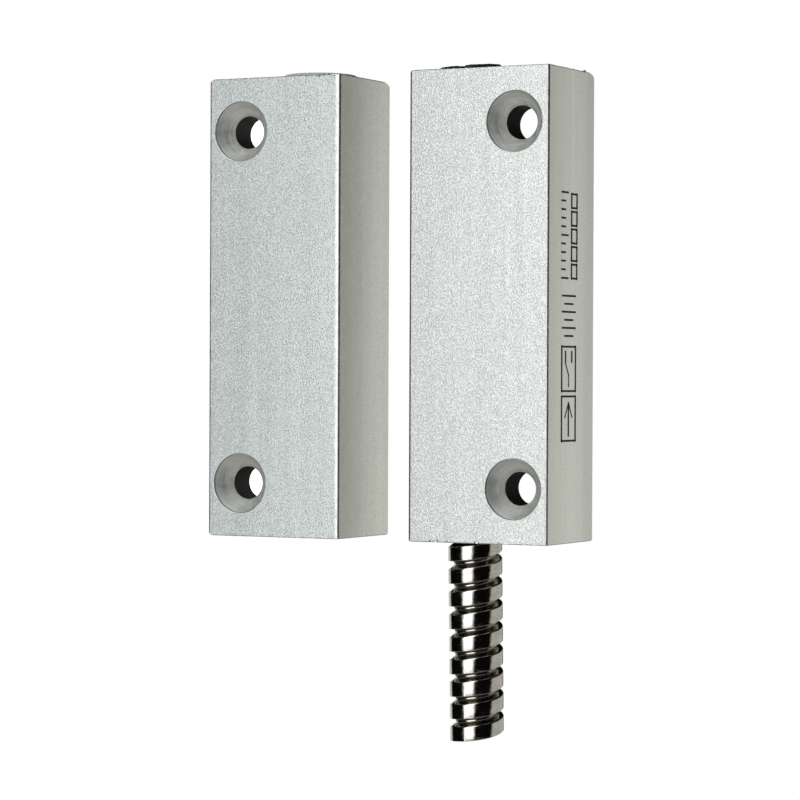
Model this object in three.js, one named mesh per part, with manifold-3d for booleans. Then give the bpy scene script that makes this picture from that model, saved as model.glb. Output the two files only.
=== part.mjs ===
// Surface-mount magnetic door contact for a gate or a door: a reed switch unit with an armoured
// conduit, and the magnet unit that faces it. Millimetres, +Z up. The origin lies on the back face of
// the switch housing, at mid-height and in the middle of its flat foot. Fronts face -Y, the wall +Y.
import * as THREE from "three";
import { mergeVertices } from "three/addons/utils/BufferGeometryUtils.js";
import Module from "manifold-3d";

const wasm = await Module();
wasm.setup();

// ---------------------------------------------------------------- driving dimensions
// Housing: one aluminium extrusion, cut to length, used for both units. In a unit's own frame x runs
// from the side that faces the other unit to the screw side, and y from the front to the back.
const HOUSING_WIDTH = 29.0;
const HOUSING_DEPTH = 20.8;
const HOUSING_HEIGHT = 88.9;
const FRONT_EDGE_RADIUS = 0.7;
const BACK_EDGE_RADIUS = 0.5;
const BORE_DIAMETER = 13.6;
const BORE_X = 8.8;
const BORE_Y = 8.3;
const BORE_WALL = 1.6;
const SCREW_WEB = 9.5;
const SCREW_SIDE_WALL = 2.2;
const CHANNEL_FILLET = 1.0;
const FOOT_WIDTH = 12.4;
const TOP_EASING = { depth: 3.5, height: 1.6 };
const BOTTOM_EASING = { depth: 1.5, height: 0.7 };

const SCREW_HOLE_DIAMETER = 6.35;
const SCREW_FROM_SIDE = 7.1;
const SCREW_SPACING = 68.3;
const COUNTERSINK_DIAMETER = 11.4;
const COUNTERSINK_ANGLE = THREE.MathUtils.degToRad(82);
const COUNTERSINK_LAND = 0.5;

const UNIT_GAP = 14.9;

// Fits: a turned or moulded piece in the bore, and pieces that lie face to face.
const BORE_CLEARANCE = 0.2;
const FACE_GAP = 0.3;

// Armoured conduit, potted in the bottom of the bore. It leaves the bore off centre, and going down
// it drifts towards -X and +Y by two small angles.
const CONDUIT_RADIUS = 5.15;
const CONDUIT_GROOVE_RADIUS = 4.0;
const CONDUIT_INNER_RADIUS = 3.55;
const CONDUIT_PITCH = 4.34;
const CONDUIT_BAND = 2.95;
const CONDUIT_OUTSIDE = 38.7;
const CONDUIT_INSIDE = 8.5;
const CONDUIT_OFFSET_X = 0.98;
const CONDUIT_OFFSET_Y = 0.77;
const CONDUIT_LEAN_X = THREE.MathUtils.degToRad(1.72);
const CONDUIT_LEAN_Y = THREE.MathUtils.degToRad(5.36);

// Cable inside the conduit: a jacket round three insulated conductors.
const JACKET_RADIUS = 3.0;
const JACKET_INNER_RADIUS = 2.1;
const JACKET_INSIDE = 14.7;
const JACKET_RECESS = 3.2;
const CONDUCTOR_RADIUS = 0.82;
const CONDUCTOR_INNER_RADIUS = 0.45;
const CORE_RADIUS = 0.33;
const CONDUCTOR_CIRCLE = 1.14;
const CONDUCTOR_RECESS = 2.7;
const CONDUCTOR_STRAIGHT = 0.8;

// Potting at the two ends of the switch bore.
const TOP_POTTING_LENGTH = 11.5;
const TOP_POTTING_PROUD = 0.8;
const TOP_POTTING_SLOPE = 0.065;
const CABLE_POTTING_LENGTH = 13.8;
const CABLE_POTTING_RECESS = 0.2;

// Reed capsule and its carrier, on the axis of the bore.
const REED_CENTRE_Z = 4.0;
const CARRIER_LENGTH = 48.0;
const CARRIER_SEAT_RADIUS = 2.9;
const CARRIER_GROOVE_FLOOR = 4.1;
const CARRIER_GROOVE_HALF_WIDTH = 1.1;
const GLASS_RADIUS = 2.6;
const GLASS_WALL = 0.55;
const GLASS_HALF_LENGTH = 18.0;
const GLASS_END_WALL = 1.6;
const GLASS_END_ROUND = 1.2;
const LEAD_RADIUS = 0.5;
const LEAD_HOLE_RADIUS = 0.65;
const LEAD_END = 21.5;
const LEAD_SPREAD = 1.05;
const BLADE_WIDTH = 2.2;
const BLADE_THICKNESS = 0.35;
const BLADE_ROOT = -14.1;
const BLADE_TIP = 11.0;
const CONTACT_THICKNESS = 0.5;
const CONTACT_START = 8.0;
const CONTACT_LEAD_START = 13.0;
const CLOSED_AIR = 0.05;
const BLADE_TRAVEL = THREE.MathUtils.degToRad(1.2);
const SOLDER_RADIUS = 0.9;
const SOLDER_LENGTH = 1.9;
const SOLDER_GAP = 0.1;
const LOOM_X = 5.15;
const LOOP_END_SHIFT = 0.25;

// Magnet unit.
const MAGNET_RADIUS = 4.9;
const MAGNET_LENGTH = 28.0;
const SPACER_LENGTH = 1.4;
const SLEEVE_INNER_RADIUS = 5.1;
const SLEEVE_HALF_LENGTH = 31.0;
const MAGNET_GAP = 0.2;
const CAP_FLANGE_RADIUS = 7.2;
const CAP_FLANGE_HEIGHT = 0.75;
const CAP_ROUND = 0.4;
const PLUG_LENGTH = 10.0;
const CAP_SEAT_GAP = 0.05;
const BASE_PLUG_RECESS = 0.2;

// Facets.
const ROUND = 40;
const SMALL_ROUND = 16;
const EDGE_STEPS = 4;
const WALL_STEPS = 10;
const WIRE_SIDES = 8;
const CORE_SIDES = 6;
const LONG_ROUTE_STEPS = 40;
const SHORT_ROUTE_STEPS = 20;

// ---------------------------------------------------------------- derived places
const TOP = HOUSING_HEIGHT / 2;
const BOTTOM = -TOP;
const BORE_RADIUS = BORE_DIAMETER / 2;
const FITTED_RADIUS = BORE_RADIUS - BORE_CLEARANCE;
const SCREW_X = HOUSING_WIDTH - SCREW_FROM_SIDE;
const COUNTERSINK_DEPTH =
  (COUNTERSINK_DIAMETER - SCREW_HOLE_DIAMETER) / 2 / Math.tan(COUNTERSINK_ANGLE / 2);

// ---------------------------------------------------------------- materials
const paint = (color, roughness, metalness) =>
  new THREE.MeshStandardMaterial({ color, roughness, metalness });
const MATERIALS = {
  aluminium: paint(0xd3d8d8, 0.45, 0.9),
  stainless: paint(0xb9b6ad, 0.18, 1.0),
  blackPotting: paint(0x1b1b1a, 0.55, 0.0),
  palePlastic: paint(0xa3a498, 0.5, 0.0),
  carrierPlastic: paint(0xd8d4c6, 0.5, 0.0),
  glass: paint(0x9fb8a0, 0.05, 0.0),
  nickelIron: paint(0xb5b0a2, 0.3, 1.0),
  solder: paint(0xc4c6c8, 0.3, 1.0),
  magnet: paint(0x5b5d60, 0.4, 0.9),
  steel: paint(0x8d9093, 0.35, 1.0),
  jacket: paint(0x55585a, 0.6, 0.0),
  copper: paint(0xb8683a, 0.3, 1.0),
  whiteWire: paint(0xe6e4dc, 0.5, 0.0),
  redWire: paint(0xa82b22, 0.5, 0.0),
  greenWire: paint(0x2f6b3c, 0.5, 0.0),
};

// ---------------------------------------------------------------- helpers
// Points of an arc from angle a to angle b, both ends included.
function arc(cx, cy, radius, a, b, steps) {
  return Array.from({ length: steps + 1 }, (_, i) => {
    const t = a + ((b - a) * i) / steps;
    return new THREE.Vector2(cx + radius * Math.cos(t), cy + radius * Math.sin(t));
  });
}

function circle(cx, cy, radius, sides) {
  return arc(cx, cy, radius, 0, 2 * Math.PI, sides).slice(0, sides);
}

// A prism along +Z from z0 to z1, with round holes given as point lists.
function prism(outline, z0, z1, holes = []) {
  const shape = new THREE.Shape(outline);
  shape.holes = holes.map((points) => new THREE.Path(points));
  const geometry = new THREE.ExtrudeGeometry(shape, { depth: z1 - z0, bevelEnabled: false });
  return geometry.translate(0, 0, z0);
}

// A solid of revolution about Z from [radius, z] pairs, given upwards along the outside.
function turned(pairs, sides) {
  const profile = pairs.map(([radius, z]) => new THREE.Vector2(radius, z));
  return new THREE.LatheGeometry(profile, sides).rotateX(Math.PI / 2);
}

function cylinder(radius, z0, z1, sides) {
  return turned([[0, z0], [radius, z0], [radius, z1], [0, z1]], sides);
}

function tube(outer, inner, z0, z1, sides) {
  return turned([[inner, z0], [outer, z0], [outer, z1], [inner, z1], [inner, z0]], sides);
}

function box(x0, x1, y0, y1, z0, z1) {
  const geometry = new THREE.BoxGeometry(x1 - x0, y1 - y0, z1 - z0);
  return geometry.translate((x0 + x1) / 2, (y0 + y1) / 2, (z0 + z1) / 2);
}

function solid(geometry) {
  const loose = geometry.index ? geometry.toNonIndexed() : geometry.clone();
  loose.deleteAttribute("normal");
  loose.deleteAttribute("uv");
  const merged = mergeVertices(loose, 1e-4);
  return new wasm.Manifold(
    new wasm.Mesh({
      numProp: 3,
      vertProperties: new Float32Array(merged.attributes.position.array),
      triVerts: new Uint32Array(merged.index.array),
    }),
  );
}

function geometryOf(manifold) {
  const mesh = manifold.getMesh();
  const geometry = new THREE.BufferGeometry();
  geometry.setAttribute("position", new THREE.BufferAttribute(mesh.vertProperties, mesh.numProp));
  geometry.setIndex(new THREE.BufferAttribute(mesh.triVerts, 1));
  const faceted = geometry.toNonIndexed();
  faceted.computeVertexNormals();
  return faceted;
}

function cut(geometry, cutters) {
  return geometryOf(cutters.reduce((body, cutter) => body.subtract(solid(cutter)), solid(geometry)));
}

function join(geometries) {
  return geometryOf(geometries.map(solid).reduce((body, other) => body.add(other)));
}

function place(group, name, geometry, material) {
  const mesh = new THREE.Mesh(geometry, material);
  mesh.name = name;
  group.add(mesh);
}

// ---------------------------------------------------------------- housing, both units
// The extrusion's outline, counter-clockwise from the front: a bored half with a wide flat foot, and
// a screw web with an open-backed channel behind it.
function housingOutline() {
  const wallRadius = BORE_RADIUS + BORE_WALL;
  const webAngle = Math.asin((SCREW_WEB - BORE_Y) / wallRadius);
  const footAngle = Math.acos((FOOT_WIDTH - BORE_X) / wallRadius);
  const channelX = HOUSING_WIDTH - SCREW_SIDE_WALL;
  const front = FRONT_EDGE_RADIUS;
  const back = BACK_EDGE_RADIUS;
  const quarter = Math.PI / 2;
  return [
    ...arc(HOUSING_WIDTH - front, front, front, -quarter, 0, EDGE_STEPS),
    ...arc(HOUSING_WIDTH - back, HOUSING_DEPTH - back, back, 0, quarter, EDGE_STEPS),
    new THREE.Vector2(channelX, HOUSING_DEPTH),
    ...arc(channelX - CHANNEL_FILLET, SCREW_WEB + CHANNEL_FILLET, CHANNEL_FILLET, 0, -quarter, EDGE_STEPS),
    ...arc(BORE_X, BORE_Y, wallRadius, webAngle, footAngle, WALL_STEPS),
    new THREE.Vector2(FOOT_WIDTH, HOUSING_DEPTH),
    ...arc(back, HOUSING_DEPTH - back, back, quarter, 2 * quarter, EDGE_STEPS),
    ...arc(front, front, front, 2 * quarter, 3 * quarter, EDGE_STEPS),
  ];
}

// What the drill and countersink take out, along +Y from the front face.
function screwHoleCutter(z) {
  const hole = SCREW_HOLE_DIAMETER / 2;
  const mouth = COUNTERSINK_DIAMETER / 2;
  const beyond = 1;
  const profile = [
    [0, -beyond],
    [mouth, -beyond],
    [mouth, COUNTERSINK_LAND],
    [hole, COUNTERSINK_LAND + COUNTERSINK_DEPTH],
    [hole, SCREW_WEB + beyond],
    [0, SCREW_WEB + beyond],
  ].map(([radius, y]) => new THREE.Vector2(radius, y));
  return new THREE.LatheGeometry(profile, ROUND).translate(SCREW_X, 0, z);
}

// What easing the sawn back edge takes off an end: the corner outside a quarter ellipse, along X.
// The end lies at z = TOP for side 1, and at z = BOTTOM for side -1.
function backEdgeCutter(easing, side) {
  const beyond = 1;
  const steps = 6;
  const curve = Array.from({ length: steps + 1 }, (_, i) => {
    const t = (Math.PI / 2) * (i / steps);
    const y = HOUSING_DEPTH - easing.depth * (1 - Math.sin(t));
    const z = TOP - easing.height * (1 - Math.cos(t));
    return new THREE.Vector2(y, side * z);
  });
  const outline = [
    ...curve,
    new THREE.Vector2(HOUSING_DEPTH + beyond, side * (TOP - easing.height)),
    new THREE.Vector2(HOUSING_DEPTH + beyond, side * (TOP + beyond)),
    new THREE.Vector2(HOUSING_DEPTH - easing.depth, side * (TOP + beyond)),
  ];
  const alongX = new THREE.Matrix4().makeBasis(
    new THREE.Vector3(0, 1, 0),
    new THREE.Vector3(0, 0, 1),
    new THREE.Vector3(1, 0, 0),
  );
  return prism(outline, -beyond, HOUSING_WIDTH + beyond).applyMatrix4(alongX);
}

function housing() {
  const bore = circle(BORE_X, BORE_Y, BORE_RADIUS, ROUND);
  return cut(prism(housingOutline(), BOTTOM, TOP, [bore]), [
    screwHoleCutter(SCREW_SPACING / 2),
    screwHoleCutter(-SCREW_SPACING / 2),
    backEdgeCutter(TOP_EASING, 1),
    backEdgeCutter(BOTTOM_EASING, -1),
  ]);
}

// ---------------------------------------------------------------- conduit and cable
// The conduit's frame has its origin where the conduit leaves the housing, and runs along -Z.
function conduitFrame() {
  const frame = new THREE.Group();
  frame.position.set(CONDUIT_OFFSET_X, CONDUIT_OFFSET_Y, BOTTOM);
  frame.rotation.set(CONDUIT_LEAN_Y, CONDUIT_LEAN_X, 0);
  return frame;
}

// Ring bands and grooves at the strip's pitch, closed by the straight inner wall.
function conduit() {
  const length = CONDUIT_OUTSIDE + CONDUIT_INSIDE;
  const turns = Math.floor(length / CONDUIT_PITCH);
  const profile = [[CONDUIT_INNER_RADIUS, -CONDUIT_OUTSIDE]];
  for (let turn = 0; turn < turns; turn++) {
    const start = -CONDUIT_OUTSIDE + turn * CONDUIT_PITCH;
    profile.push([CONDUIT_RADIUS, start], [CONDUIT_RADIUS, start + CONDUIT_BAND]);
    profile.push([CONDUIT_GROOVE_RADIUS, start + CONDUIT_BAND]);
    profile.push([CONDUIT_GROOVE_RADIUS, start + CONDUIT_PITCH]);
  }
  profile.push([CONDUIT_GROOVE_RADIUS, CONDUIT_INSIDE], [CONDUIT_INNER_RADIUS, CONDUIT_INSIDE]);
  profile.push([CONDUIT_INNER_RADIUS, -CONDUIT_OUTSIDE]);
  return turned(profile, SMALL_ROUND + 8);
}

function jacket() {
  const start = -CONDUIT_OUTSIDE + JACKET_RECESS;
  return tube(JACKET_RADIUS, JACKET_INNER_RADIUS, start, JACKET_INSIDE, SMALL_ROUND);
}

// A point of the bore's frame on the conduit's axis, shifted sideways in the plane of the section.
function besideConduitAxis(along, shiftX, shiftY) {
  const leanX = Math.tan(CONDUIT_LEAN_X) / Math.cos(CONDUIT_LEAN_Y);
  const leanY = Math.tan(CONDUIT_LEAN_Y);
  const x = CONDUIT_OFFSET_X + leanX * along + shiftX;
  const y = CONDUIT_OFFSET_Y - leanY * along + shiftY;
  return new THREE.Vector3(x, y, BOTTOM + along);
}

// The route of a conductor: straight through the jacket, then over the given points of the bore.
function conductorRoute(angle, onward) {
  const shiftX = CONDUCTOR_CIRCLE * Math.cos(angle);
  const shiftY = CONDUCTOR_CIRCLE * Math.sin(angle);
  const start = -CONDUIT_OUTSIDE + CONDUCTOR_RECESS;
  const end = JACKET_INSIDE + CONDUCTOR_STRAIGHT;
  const straight = [0, 0.35, 0.7, 0.95, 1].map((part) =>
    besideConduitAxis(start + part * (end - start), shiftX, shiftY),
  );
  return new THREE.CatmullRomCurve3([...straight, ...onward], false, "centripetal");
}

// Up the carrier's groove on one side and over its top to the solder joint of a contact lead.
function contactRoute(side, angle) {
  const carrierTop = REED_CENTRE_Z + CARRIER_LENGTH / 2;
  const jointTop = REED_CENTRE_Z + LEAD_END + SOLDER_LENGTH + 2 * SOLDER_GAP;
  const endX = LEAD_SPREAD + LOOP_END_SHIFT;
  const climb = [-20.8, -8, 4, 16].map((z) => new THREE.Vector3(side * LOOM_X, 0, z));
  const loop = arc((LOOM_X + endX) / 2, carrierTop, (LOOM_X - endX) / 2, 0, Math.PI, 4);
  return conductorRoute(angle, [
    new THREE.Vector3(side * LOOM_X * 0.62, 0.5, -25),
    ...climb,
    ...loop.map(({ x, y: z }) => new THREE.Vector3(side * x, 0, z)),
    new THREE.Vector3(side * endX, 0, jointTop),
  ]);
}

function commonRoute(angle) {
  const jointBottom = REED_CENTRE_Z - LEAD_END - SOLDER_LENGTH - 2 * SOLDER_GAP;
  return conductorRoute(angle, [
    new THREE.Vector3(0.2, -0.6, -25.5),
    new THREE.Vector3(0, 0, jointBottom - 1.5),
    new THREE.Vector3(0, 0, jointBottom),
  ]);
}

function sweep(route, steps, outer, sides, inner) {
  const shape = new THREE.Shape(circle(0, 0, outer, sides));
  if (inner) shape.holes.push(new THREE.Path(circle(0, 0, inner, CORE_SIDES)));
  return new THREE.ExtrudeGeometry(shape, { steps, bevelEnabled: false, extrudePath: route });
}

// ---------------------------------------------------------------- potting
// Poured in from the top. It stands proud, and its face rises a little towards the screw side.
function topPotting() {
  const r = FITTED_RADIUS;
  const crown = TOP + TOP_POTTING_PROUD;
  const lidHeight = 4;
  const lid = box(-2 * r, 2 * r, -2 * r, 2 * r, 0, lidHeight);
  lid.rotateY(-Math.atan(TOP_POTTING_SLOPE)).translate(0, 0, crown);
  return cut(cylinder(r, TOP - TOP_POTTING_LENGTH, crown + lidHeight / 2, ROUND), [lid]);
}

// Fills the bottom of the bore round the conduit, and above the conduit round the jacket alone.
function cablePotting() {
  const z0 = BOTTOM + CABLE_POTTING_RECESS;
  const z1 = BOTTOM + CABLE_POTTING_LENGTH;
  const beyond = 1;
  const frame = conduitFrame();
  frame.updateMatrixWorld(true);
  const seats = [
    cylinder(CONDUIT_RADIUS + 0.08, -beyond, CONDUIT_INSIDE + FACE_GAP, ROUND),
    cylinder(JACKET_RADIUS + 0.1, -beyond, JACKET_INSIDE + beyond, ROUND),
  ];
  const cutters = seats.map((seat) => seat.applyMatrix4(frame.matrixWorld));
  return cut(cylinder(FITTED_RADIUS, z0, z1, ROUND), cutters);
}

// ---------------------------------------------------------------- reed switch, on the bore's axis
// z in these functions is measured from the middle of the capsule.
function carrier() {
  const half = CARRIER_GROOVE_HALF_WIDTH;
  const grooveAngle = Math.asin(half / FITTED_RADIUS);
  const outline = [0, Math.PI].flatMap((turn) => {
    const side = Math.cos(turn);
    return [
      new THREE.Vector2(side * CARRIER_GROOVE_FLOOR, -side * half),
      new THREE.Vector2(side * CARRIER_GROOVE_FLOOR, side * half),
      ...arc(0, 0, FITTED_RADIUS, turn + grooveAngle, turn + Math.PI - grooveAngle, SMALL_ROUND),
    ];
  });
  const seat = circle(0, 0, CARRIER_SEAT_RADIUS, SMALL_ROUND + 8);
  return prism(outline, -CARRIER_LENGTH / 2, CARRIER_LENGTH / 2, [seat]);
}

function capsuleProfile(radius, halfLength, round) {
  const shoulder = radius - round;
  return [
    [0, -halfLength],
    [shoulder, -halfLength],
    [shoulder + 0.7 * round, -halfLength + 0.3 * round],
    [radius, -halfLength + round],
    [radius, halfLength - round],
    [shoulder + 0.7 * round, halfLength - 0.3 * round],
    [shoulder, halfLength],
    [0, halfLength],
  ];
}

function glassCapsule() {
  const inside = GLASS_HALF_LENGTH - GLASS_END_WALL;
  const sides = SMALL_ROUND + 8;
  const beyond = 1;
  const lowHole = cylinder(LEAD_HOLE_RADIUS, -GLASS_HALF_LENGTH - beyond, -inside + beyond, SMALL_ROUND);
  const highHoles = [-1, 1].map((side) =>
    cylinder(LEAD_HOLE_RADIUS, inside - beyond, GLASS_HALF_LENGTH + beyond, SMALL_ROUND)
      .translate(side * LEAD_SPREAD, 0, 0),
  );
  return cut(turned(capsuleProfile(GLASS_RADIUS, GLASS_HALF_LENGTH, GLASS_END_ROUND), sides), [
    turned(capsuleProfile(GLASS_RADIUS - GLASS_WALL, inside, GLASS_END_ROUND / 2), sides),
    lowHole,
    ...highHoles,
  ]);
}

function commonBlade() {
  const half = BLADE_THICKNESS / 2;
  return box(-half, half, -BLADE_WIDTH / 2, BLADE_WIDTH / 2, 0, BLADE_TIP - BLADE_ROOT);
}

// A contact strip on one side of the blade's tip, joined to its round lead. air is the space between
// the strip and the blade at rest.
function contact(side, air) {
  const face = BLADE_THICKNESS / 2 + air;
  const near = side * face;
  const far = side * (face + CONTACT_THICKNESS);
  const strip = box(
    Math.min(near, far),
    Math.max(near, far),
    -BLADE_WIDTH / 2,
    BLADE_WIDTH / 2,
    CONTACT_START,
    CONTACT_LEAD_START + 1,
  );
  const lead = cylinder(LEAD_RADIUS, CONTACT_LEAD_START, LEAD_END, SMALL_ROUND);
  return join([strip, lead.translate(side * LEAD_SPREAD, 0, 0)]);
}

function solderJoint() {
  const half = SOLDER_LENGTH / 2;
  return turned(
    [
      [0, -half],
      [SOLDER_RADIUS * 0.6, -half * 0.85],
      [SOLDER_RADIUS, 0],
      [SOLDER_RADIUS * 0.6, half * 0.85],
      [0, half],
    ],
    SMALL_ROUND,
  );
}

// ---------------------------------------------------------------- magnet unit pieces
function magnetCap() {
  const seat = TOP + CAP_SEAT_GAP;
  const crown = seat + CAP_FLANGE_HEIGHT;
  return turned(
    [
      [0, TOP - PLUG_LENGTH],
      [FITTED_RADIUS, TOP - PLUG_LENGTH],
      [FITTED_RADIUS, seat],
      [CAP_FLANGE_RADIUS, seat],
      [CAP_FLANGE_RADIUS, crown - CAP_ROUND],
      [CAP_FLANGE_RADIUS - CAP_ROUND / 3, crown - CAP_ROUND / 3],
      [CAP_FLANGE_RADIUS - CAP_ROUND, crown],
      [0, crown + CAP_SEAT_GAP],
    ],
    ROUND,
  );
}

function basePlug() {
  return cylinder(FITTED_RADIUS, BOTTOM + BASE_PLUG_RECESS, BOTTOM + PLUG_LENGTH, ROUND);
}

// ---------------------------------------------------------------- assembly
function boreFrame() {
  const frame = new THREE.Group();
  frame.position.set(BORE_X, BORE_Y, 0);
  return frame;
}

function reedFrame() {
  const frame = new THREE.Group();
  frame.position.z = REED_CENTRE_Z;
  return frame;
}

function addReed(frame) {
  const restAir = CLOSED_AIR;
  const openAir = Math.sin(BLADE_TRAVEL) * (BLADE_TIP - BLADE_ROOT) + CLOSED_AIR;
  const commonLead = cylinder(LEAD_RADIUS, -LEAD_END, BLADE_ROOT - FACE_GAP, SMALL_ROUND);
  const blade = commonBlade().translate(0, 0, BLADE_ROOT);
  place(frame, "reed_carrier", carrier(), MATERIALS.carrierPlastic);
  place(frame, "reed_glass", glassCapsule(), MATERIALS.glass);
  place(frame, "reed_common_lead", commonLead, MATERIALS.nickelIron);
  place(frame, "reed_common_blade", blade, MATERIALS.nickelIron);
  place(frame, "reed_open_contact", contact(1, restAir), MATERIALS.nickelIron);
  place(frame, "reed_closed_contact", contact(-1, openAir), MATERIALS.nickelIron);
  const jointCentre = LEAD_END + SOLDER_GAP + SOLDER_LENGTH / 2;
  const joints = { common: [0, -1], open: [LEAD_SPREAD, 1], closed: [-LEAD_SPREAD, 1] };
  for (const [name, [x, end]] of Object.entries(joints)) {
    const joint = solderJoint().translate(x, 0, end * jointCentre);
    place(frame, `solder_joint_${name}`, joint, MATERIALS.solder);
  }
}

function addConductors(frame) {
  const third = (2 * Math.PI) / 3;
  const conductors = [
    { name: "open", route: contactRoute(1, 0), steps: LONG_ROUTE_STEPS, wire: MATERIALS.redWire },
    { name: "closed", route: contactRoute(-1, third), steps: LONG_ROUTE_STEPS, wire: MATERIALS.greenWire },
    { name: "common", route: commonRoute(2 * third), steps: SHORT_ROUTE_STEPS, wire: MATERIALS.whiteWire },
  ];
  for (const { name, route, steps, wire } of conductors) {
    const insulation = sweep(route, steps, CONDUCTOR_RADIUS, WIRE_SIDES, CONDUCTOR_INNER_RADIUS);
    place(frame, `conductor_${name}`, insulation, wire);
    place(frame, `core_${name}`, sweep(route, steps, CORE_RADIUS, CORE_SIDES), MATERIALS.copper);
  }
}

function switchUnit() {
  const unit = new THREE.Group();
  const bore = boreFrame();
  const outlet = conduitFrame();
  const reed = reedFrame();
  place(unit, "switch_housing", housing(), MATERIALS.aluminium);
  place(bore, "switch_top_potting", topPotting(), MATERIALS.blackPotting);
  place(bore, "switch_cable_potting", cablePotting(), MATERIALS.blackPotting);
  place(outlet, "armoured_conduit", conduit(), MATERIALS.stainless);
  place(outlet, "cable_jacket", jacket(), MATERIALS.jacket);
  addConductors(bore);
  addReed(reed);
  bore.add(outlet, reed);
  unit.add(bore);
  return unit;
}

function magnetUnit() {
  const unit = new THREE.Group();
  const bore = boreFrame();
  const rodStart = SPACER_LENGTH / 2 + MAGNET_GAP;
  const sleeve = tube(FITTED_RADIUS, SLEEVE_INNER_RADIUS, -SLEEVE_HALF_LENGTH, SLEEVE_HALF_LENGTH, ROUND);
  const upperRod = cylinder(MAGNET_RADIUS, rodStart, rodStart + MAGNET_LENGTH, SMALL_ROUND + 8);
  const lowerRod = cylinder(MAGNET_RADIUS, -rodStart - MAGNET_LENGTH, -rodStart, SMALL_ROUND + 8);
  const spacer = cylinder(MAGNET_RADIUS, -SPACER_LENGTH / 2, SPACER_LENGTH / 2, SMALL_ROUND + 8);
  place(unit, "magnet_housing", housing(), MATERIALS.aluminium);
  place(bore, "magnet_sleeve", sleeve, MATERIALS.carrierPlastic);
  place(bore, "magnet_rod_upper", upperRod, MATERIALS.magnet);
  place(bore, "magnet_rod_lower", lowerRod, MATERIALS.magnet);
  place(bore, "magnet_spacer", spacer, MATERIALS.steel);
  place(bore, "magnet_cap", magnetCap(), MATERIALS.palePlastic);
  place(bore, "magnet_base_plug", basePlug(), MATERIALS.palePlastic);
  unit.add(bore);
  return unit;
}

// The switch unit stands with the middle of its foot at the origin. The magnet unit is the same
// extrusion turned end for end, so its section is mirrored, and it faces the switch across the gap.
function contactPair() {
  const pair = new THREE.Group();
  const switchPart = switchUnit();
  const magnetPart = magnetUnit();
  switchPart.position.set(-FOOT_WIDTH / 2, -HOUSING_DEPTH, 0);
  magnetPart.position.set(-FOOT_WIDTH / 2 - UNIT_GAP, -HOUSING_DEPTH, 0);
  magnetPart.scale.x = -1;
  pair.add(switchPart, magnetPart);
  return pair;
}

export default contactPair();
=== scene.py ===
"""Looks of a surface-mount door contact: a switch unit with an armoured conduit, and its magnet unit.

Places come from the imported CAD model. Shapes are worked out in millimetres in a unit's own frame:
x runs from the side that faces the other unit to the screw side, y from the front to the back, and
z up from mid-height. Every piece ends up in metres in the row frame.
"""

import math
import random

import bmesh
import bpy
from mathutils import Matrix, Vector, noise


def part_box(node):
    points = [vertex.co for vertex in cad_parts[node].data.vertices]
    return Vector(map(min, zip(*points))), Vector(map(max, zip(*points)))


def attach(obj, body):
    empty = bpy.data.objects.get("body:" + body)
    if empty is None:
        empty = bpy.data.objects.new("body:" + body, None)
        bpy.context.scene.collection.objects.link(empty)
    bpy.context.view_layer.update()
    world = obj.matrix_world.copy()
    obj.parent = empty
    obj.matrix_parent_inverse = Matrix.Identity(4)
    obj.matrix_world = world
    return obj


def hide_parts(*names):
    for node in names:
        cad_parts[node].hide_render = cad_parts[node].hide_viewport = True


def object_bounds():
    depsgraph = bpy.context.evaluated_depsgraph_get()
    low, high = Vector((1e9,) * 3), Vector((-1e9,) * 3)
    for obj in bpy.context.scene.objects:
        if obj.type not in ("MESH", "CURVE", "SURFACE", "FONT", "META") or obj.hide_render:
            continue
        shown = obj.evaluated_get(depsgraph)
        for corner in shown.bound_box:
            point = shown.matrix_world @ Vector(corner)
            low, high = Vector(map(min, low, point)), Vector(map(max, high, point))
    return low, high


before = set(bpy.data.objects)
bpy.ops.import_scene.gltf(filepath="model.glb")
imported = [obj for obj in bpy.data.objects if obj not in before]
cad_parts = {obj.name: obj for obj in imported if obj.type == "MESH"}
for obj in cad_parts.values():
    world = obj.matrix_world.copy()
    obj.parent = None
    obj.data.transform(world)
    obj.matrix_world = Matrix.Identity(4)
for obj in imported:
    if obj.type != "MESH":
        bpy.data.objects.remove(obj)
cad_lo, cad_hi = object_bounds()

MM = 0.001

# ---- driving sizes, millimetres
HOUSING_WIDTH = 29.0
HOUSING_DEPTH = 20.8
HOUSING_HEIGHT = 88.9
FRONT_EDGE_RADIUS = 0.7
BACK_EDGE_RADIUS = 0.5
INNER_EDGE_RADIUS = 0.3
END_EASE = 0.16
BORE_RADIUS = 6.8
BORE_X = 8.8
BORE_Y = 8.3
BORE_WALL = 1.6
SCREW_WEB = 9.5
SCREW_SIDE_WALL = 2.2
CHANNEL_FILLET = 1.0
FOOT_WIDTH = 12.4
TOP_EASING = (3.5, 1.6)
BOTTOM_EASING = (1.5, 0.7)

SCREW_HOLE_RADIUS = 3.175
SCREW_FROM_SIDE = 7.1
SCREW_SPACING = 68.3
COUNTERSINK_RADIUS = 5.7
COUNTERSINK_HALF_ANGLE = math.radians(41)
COUNTERSINK_LAND = 0.5

CONDUIT_RADIUS = 5.15
CONDUIT_GROOVE_RADIUS = 4.0
CONDUIT_PITCH = 4.34
CONDUIT_BAND = 2.95
CONDUIT_STRIP = 0.3
CONDUIT_OUTSIDE = 38.7
CONDUIT_INSIDE = 8.5
CONDUIT_OFFSET_X = 0.98
CONDUIT_OFFSET_Y = 0.77
CONDUIT_LEAN_X = math.radians(1.72)
CONDUIT_LEAN_Y = math.radians(5.36)
CONDUIT_START_ANGLE = math.radians(196)

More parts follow.
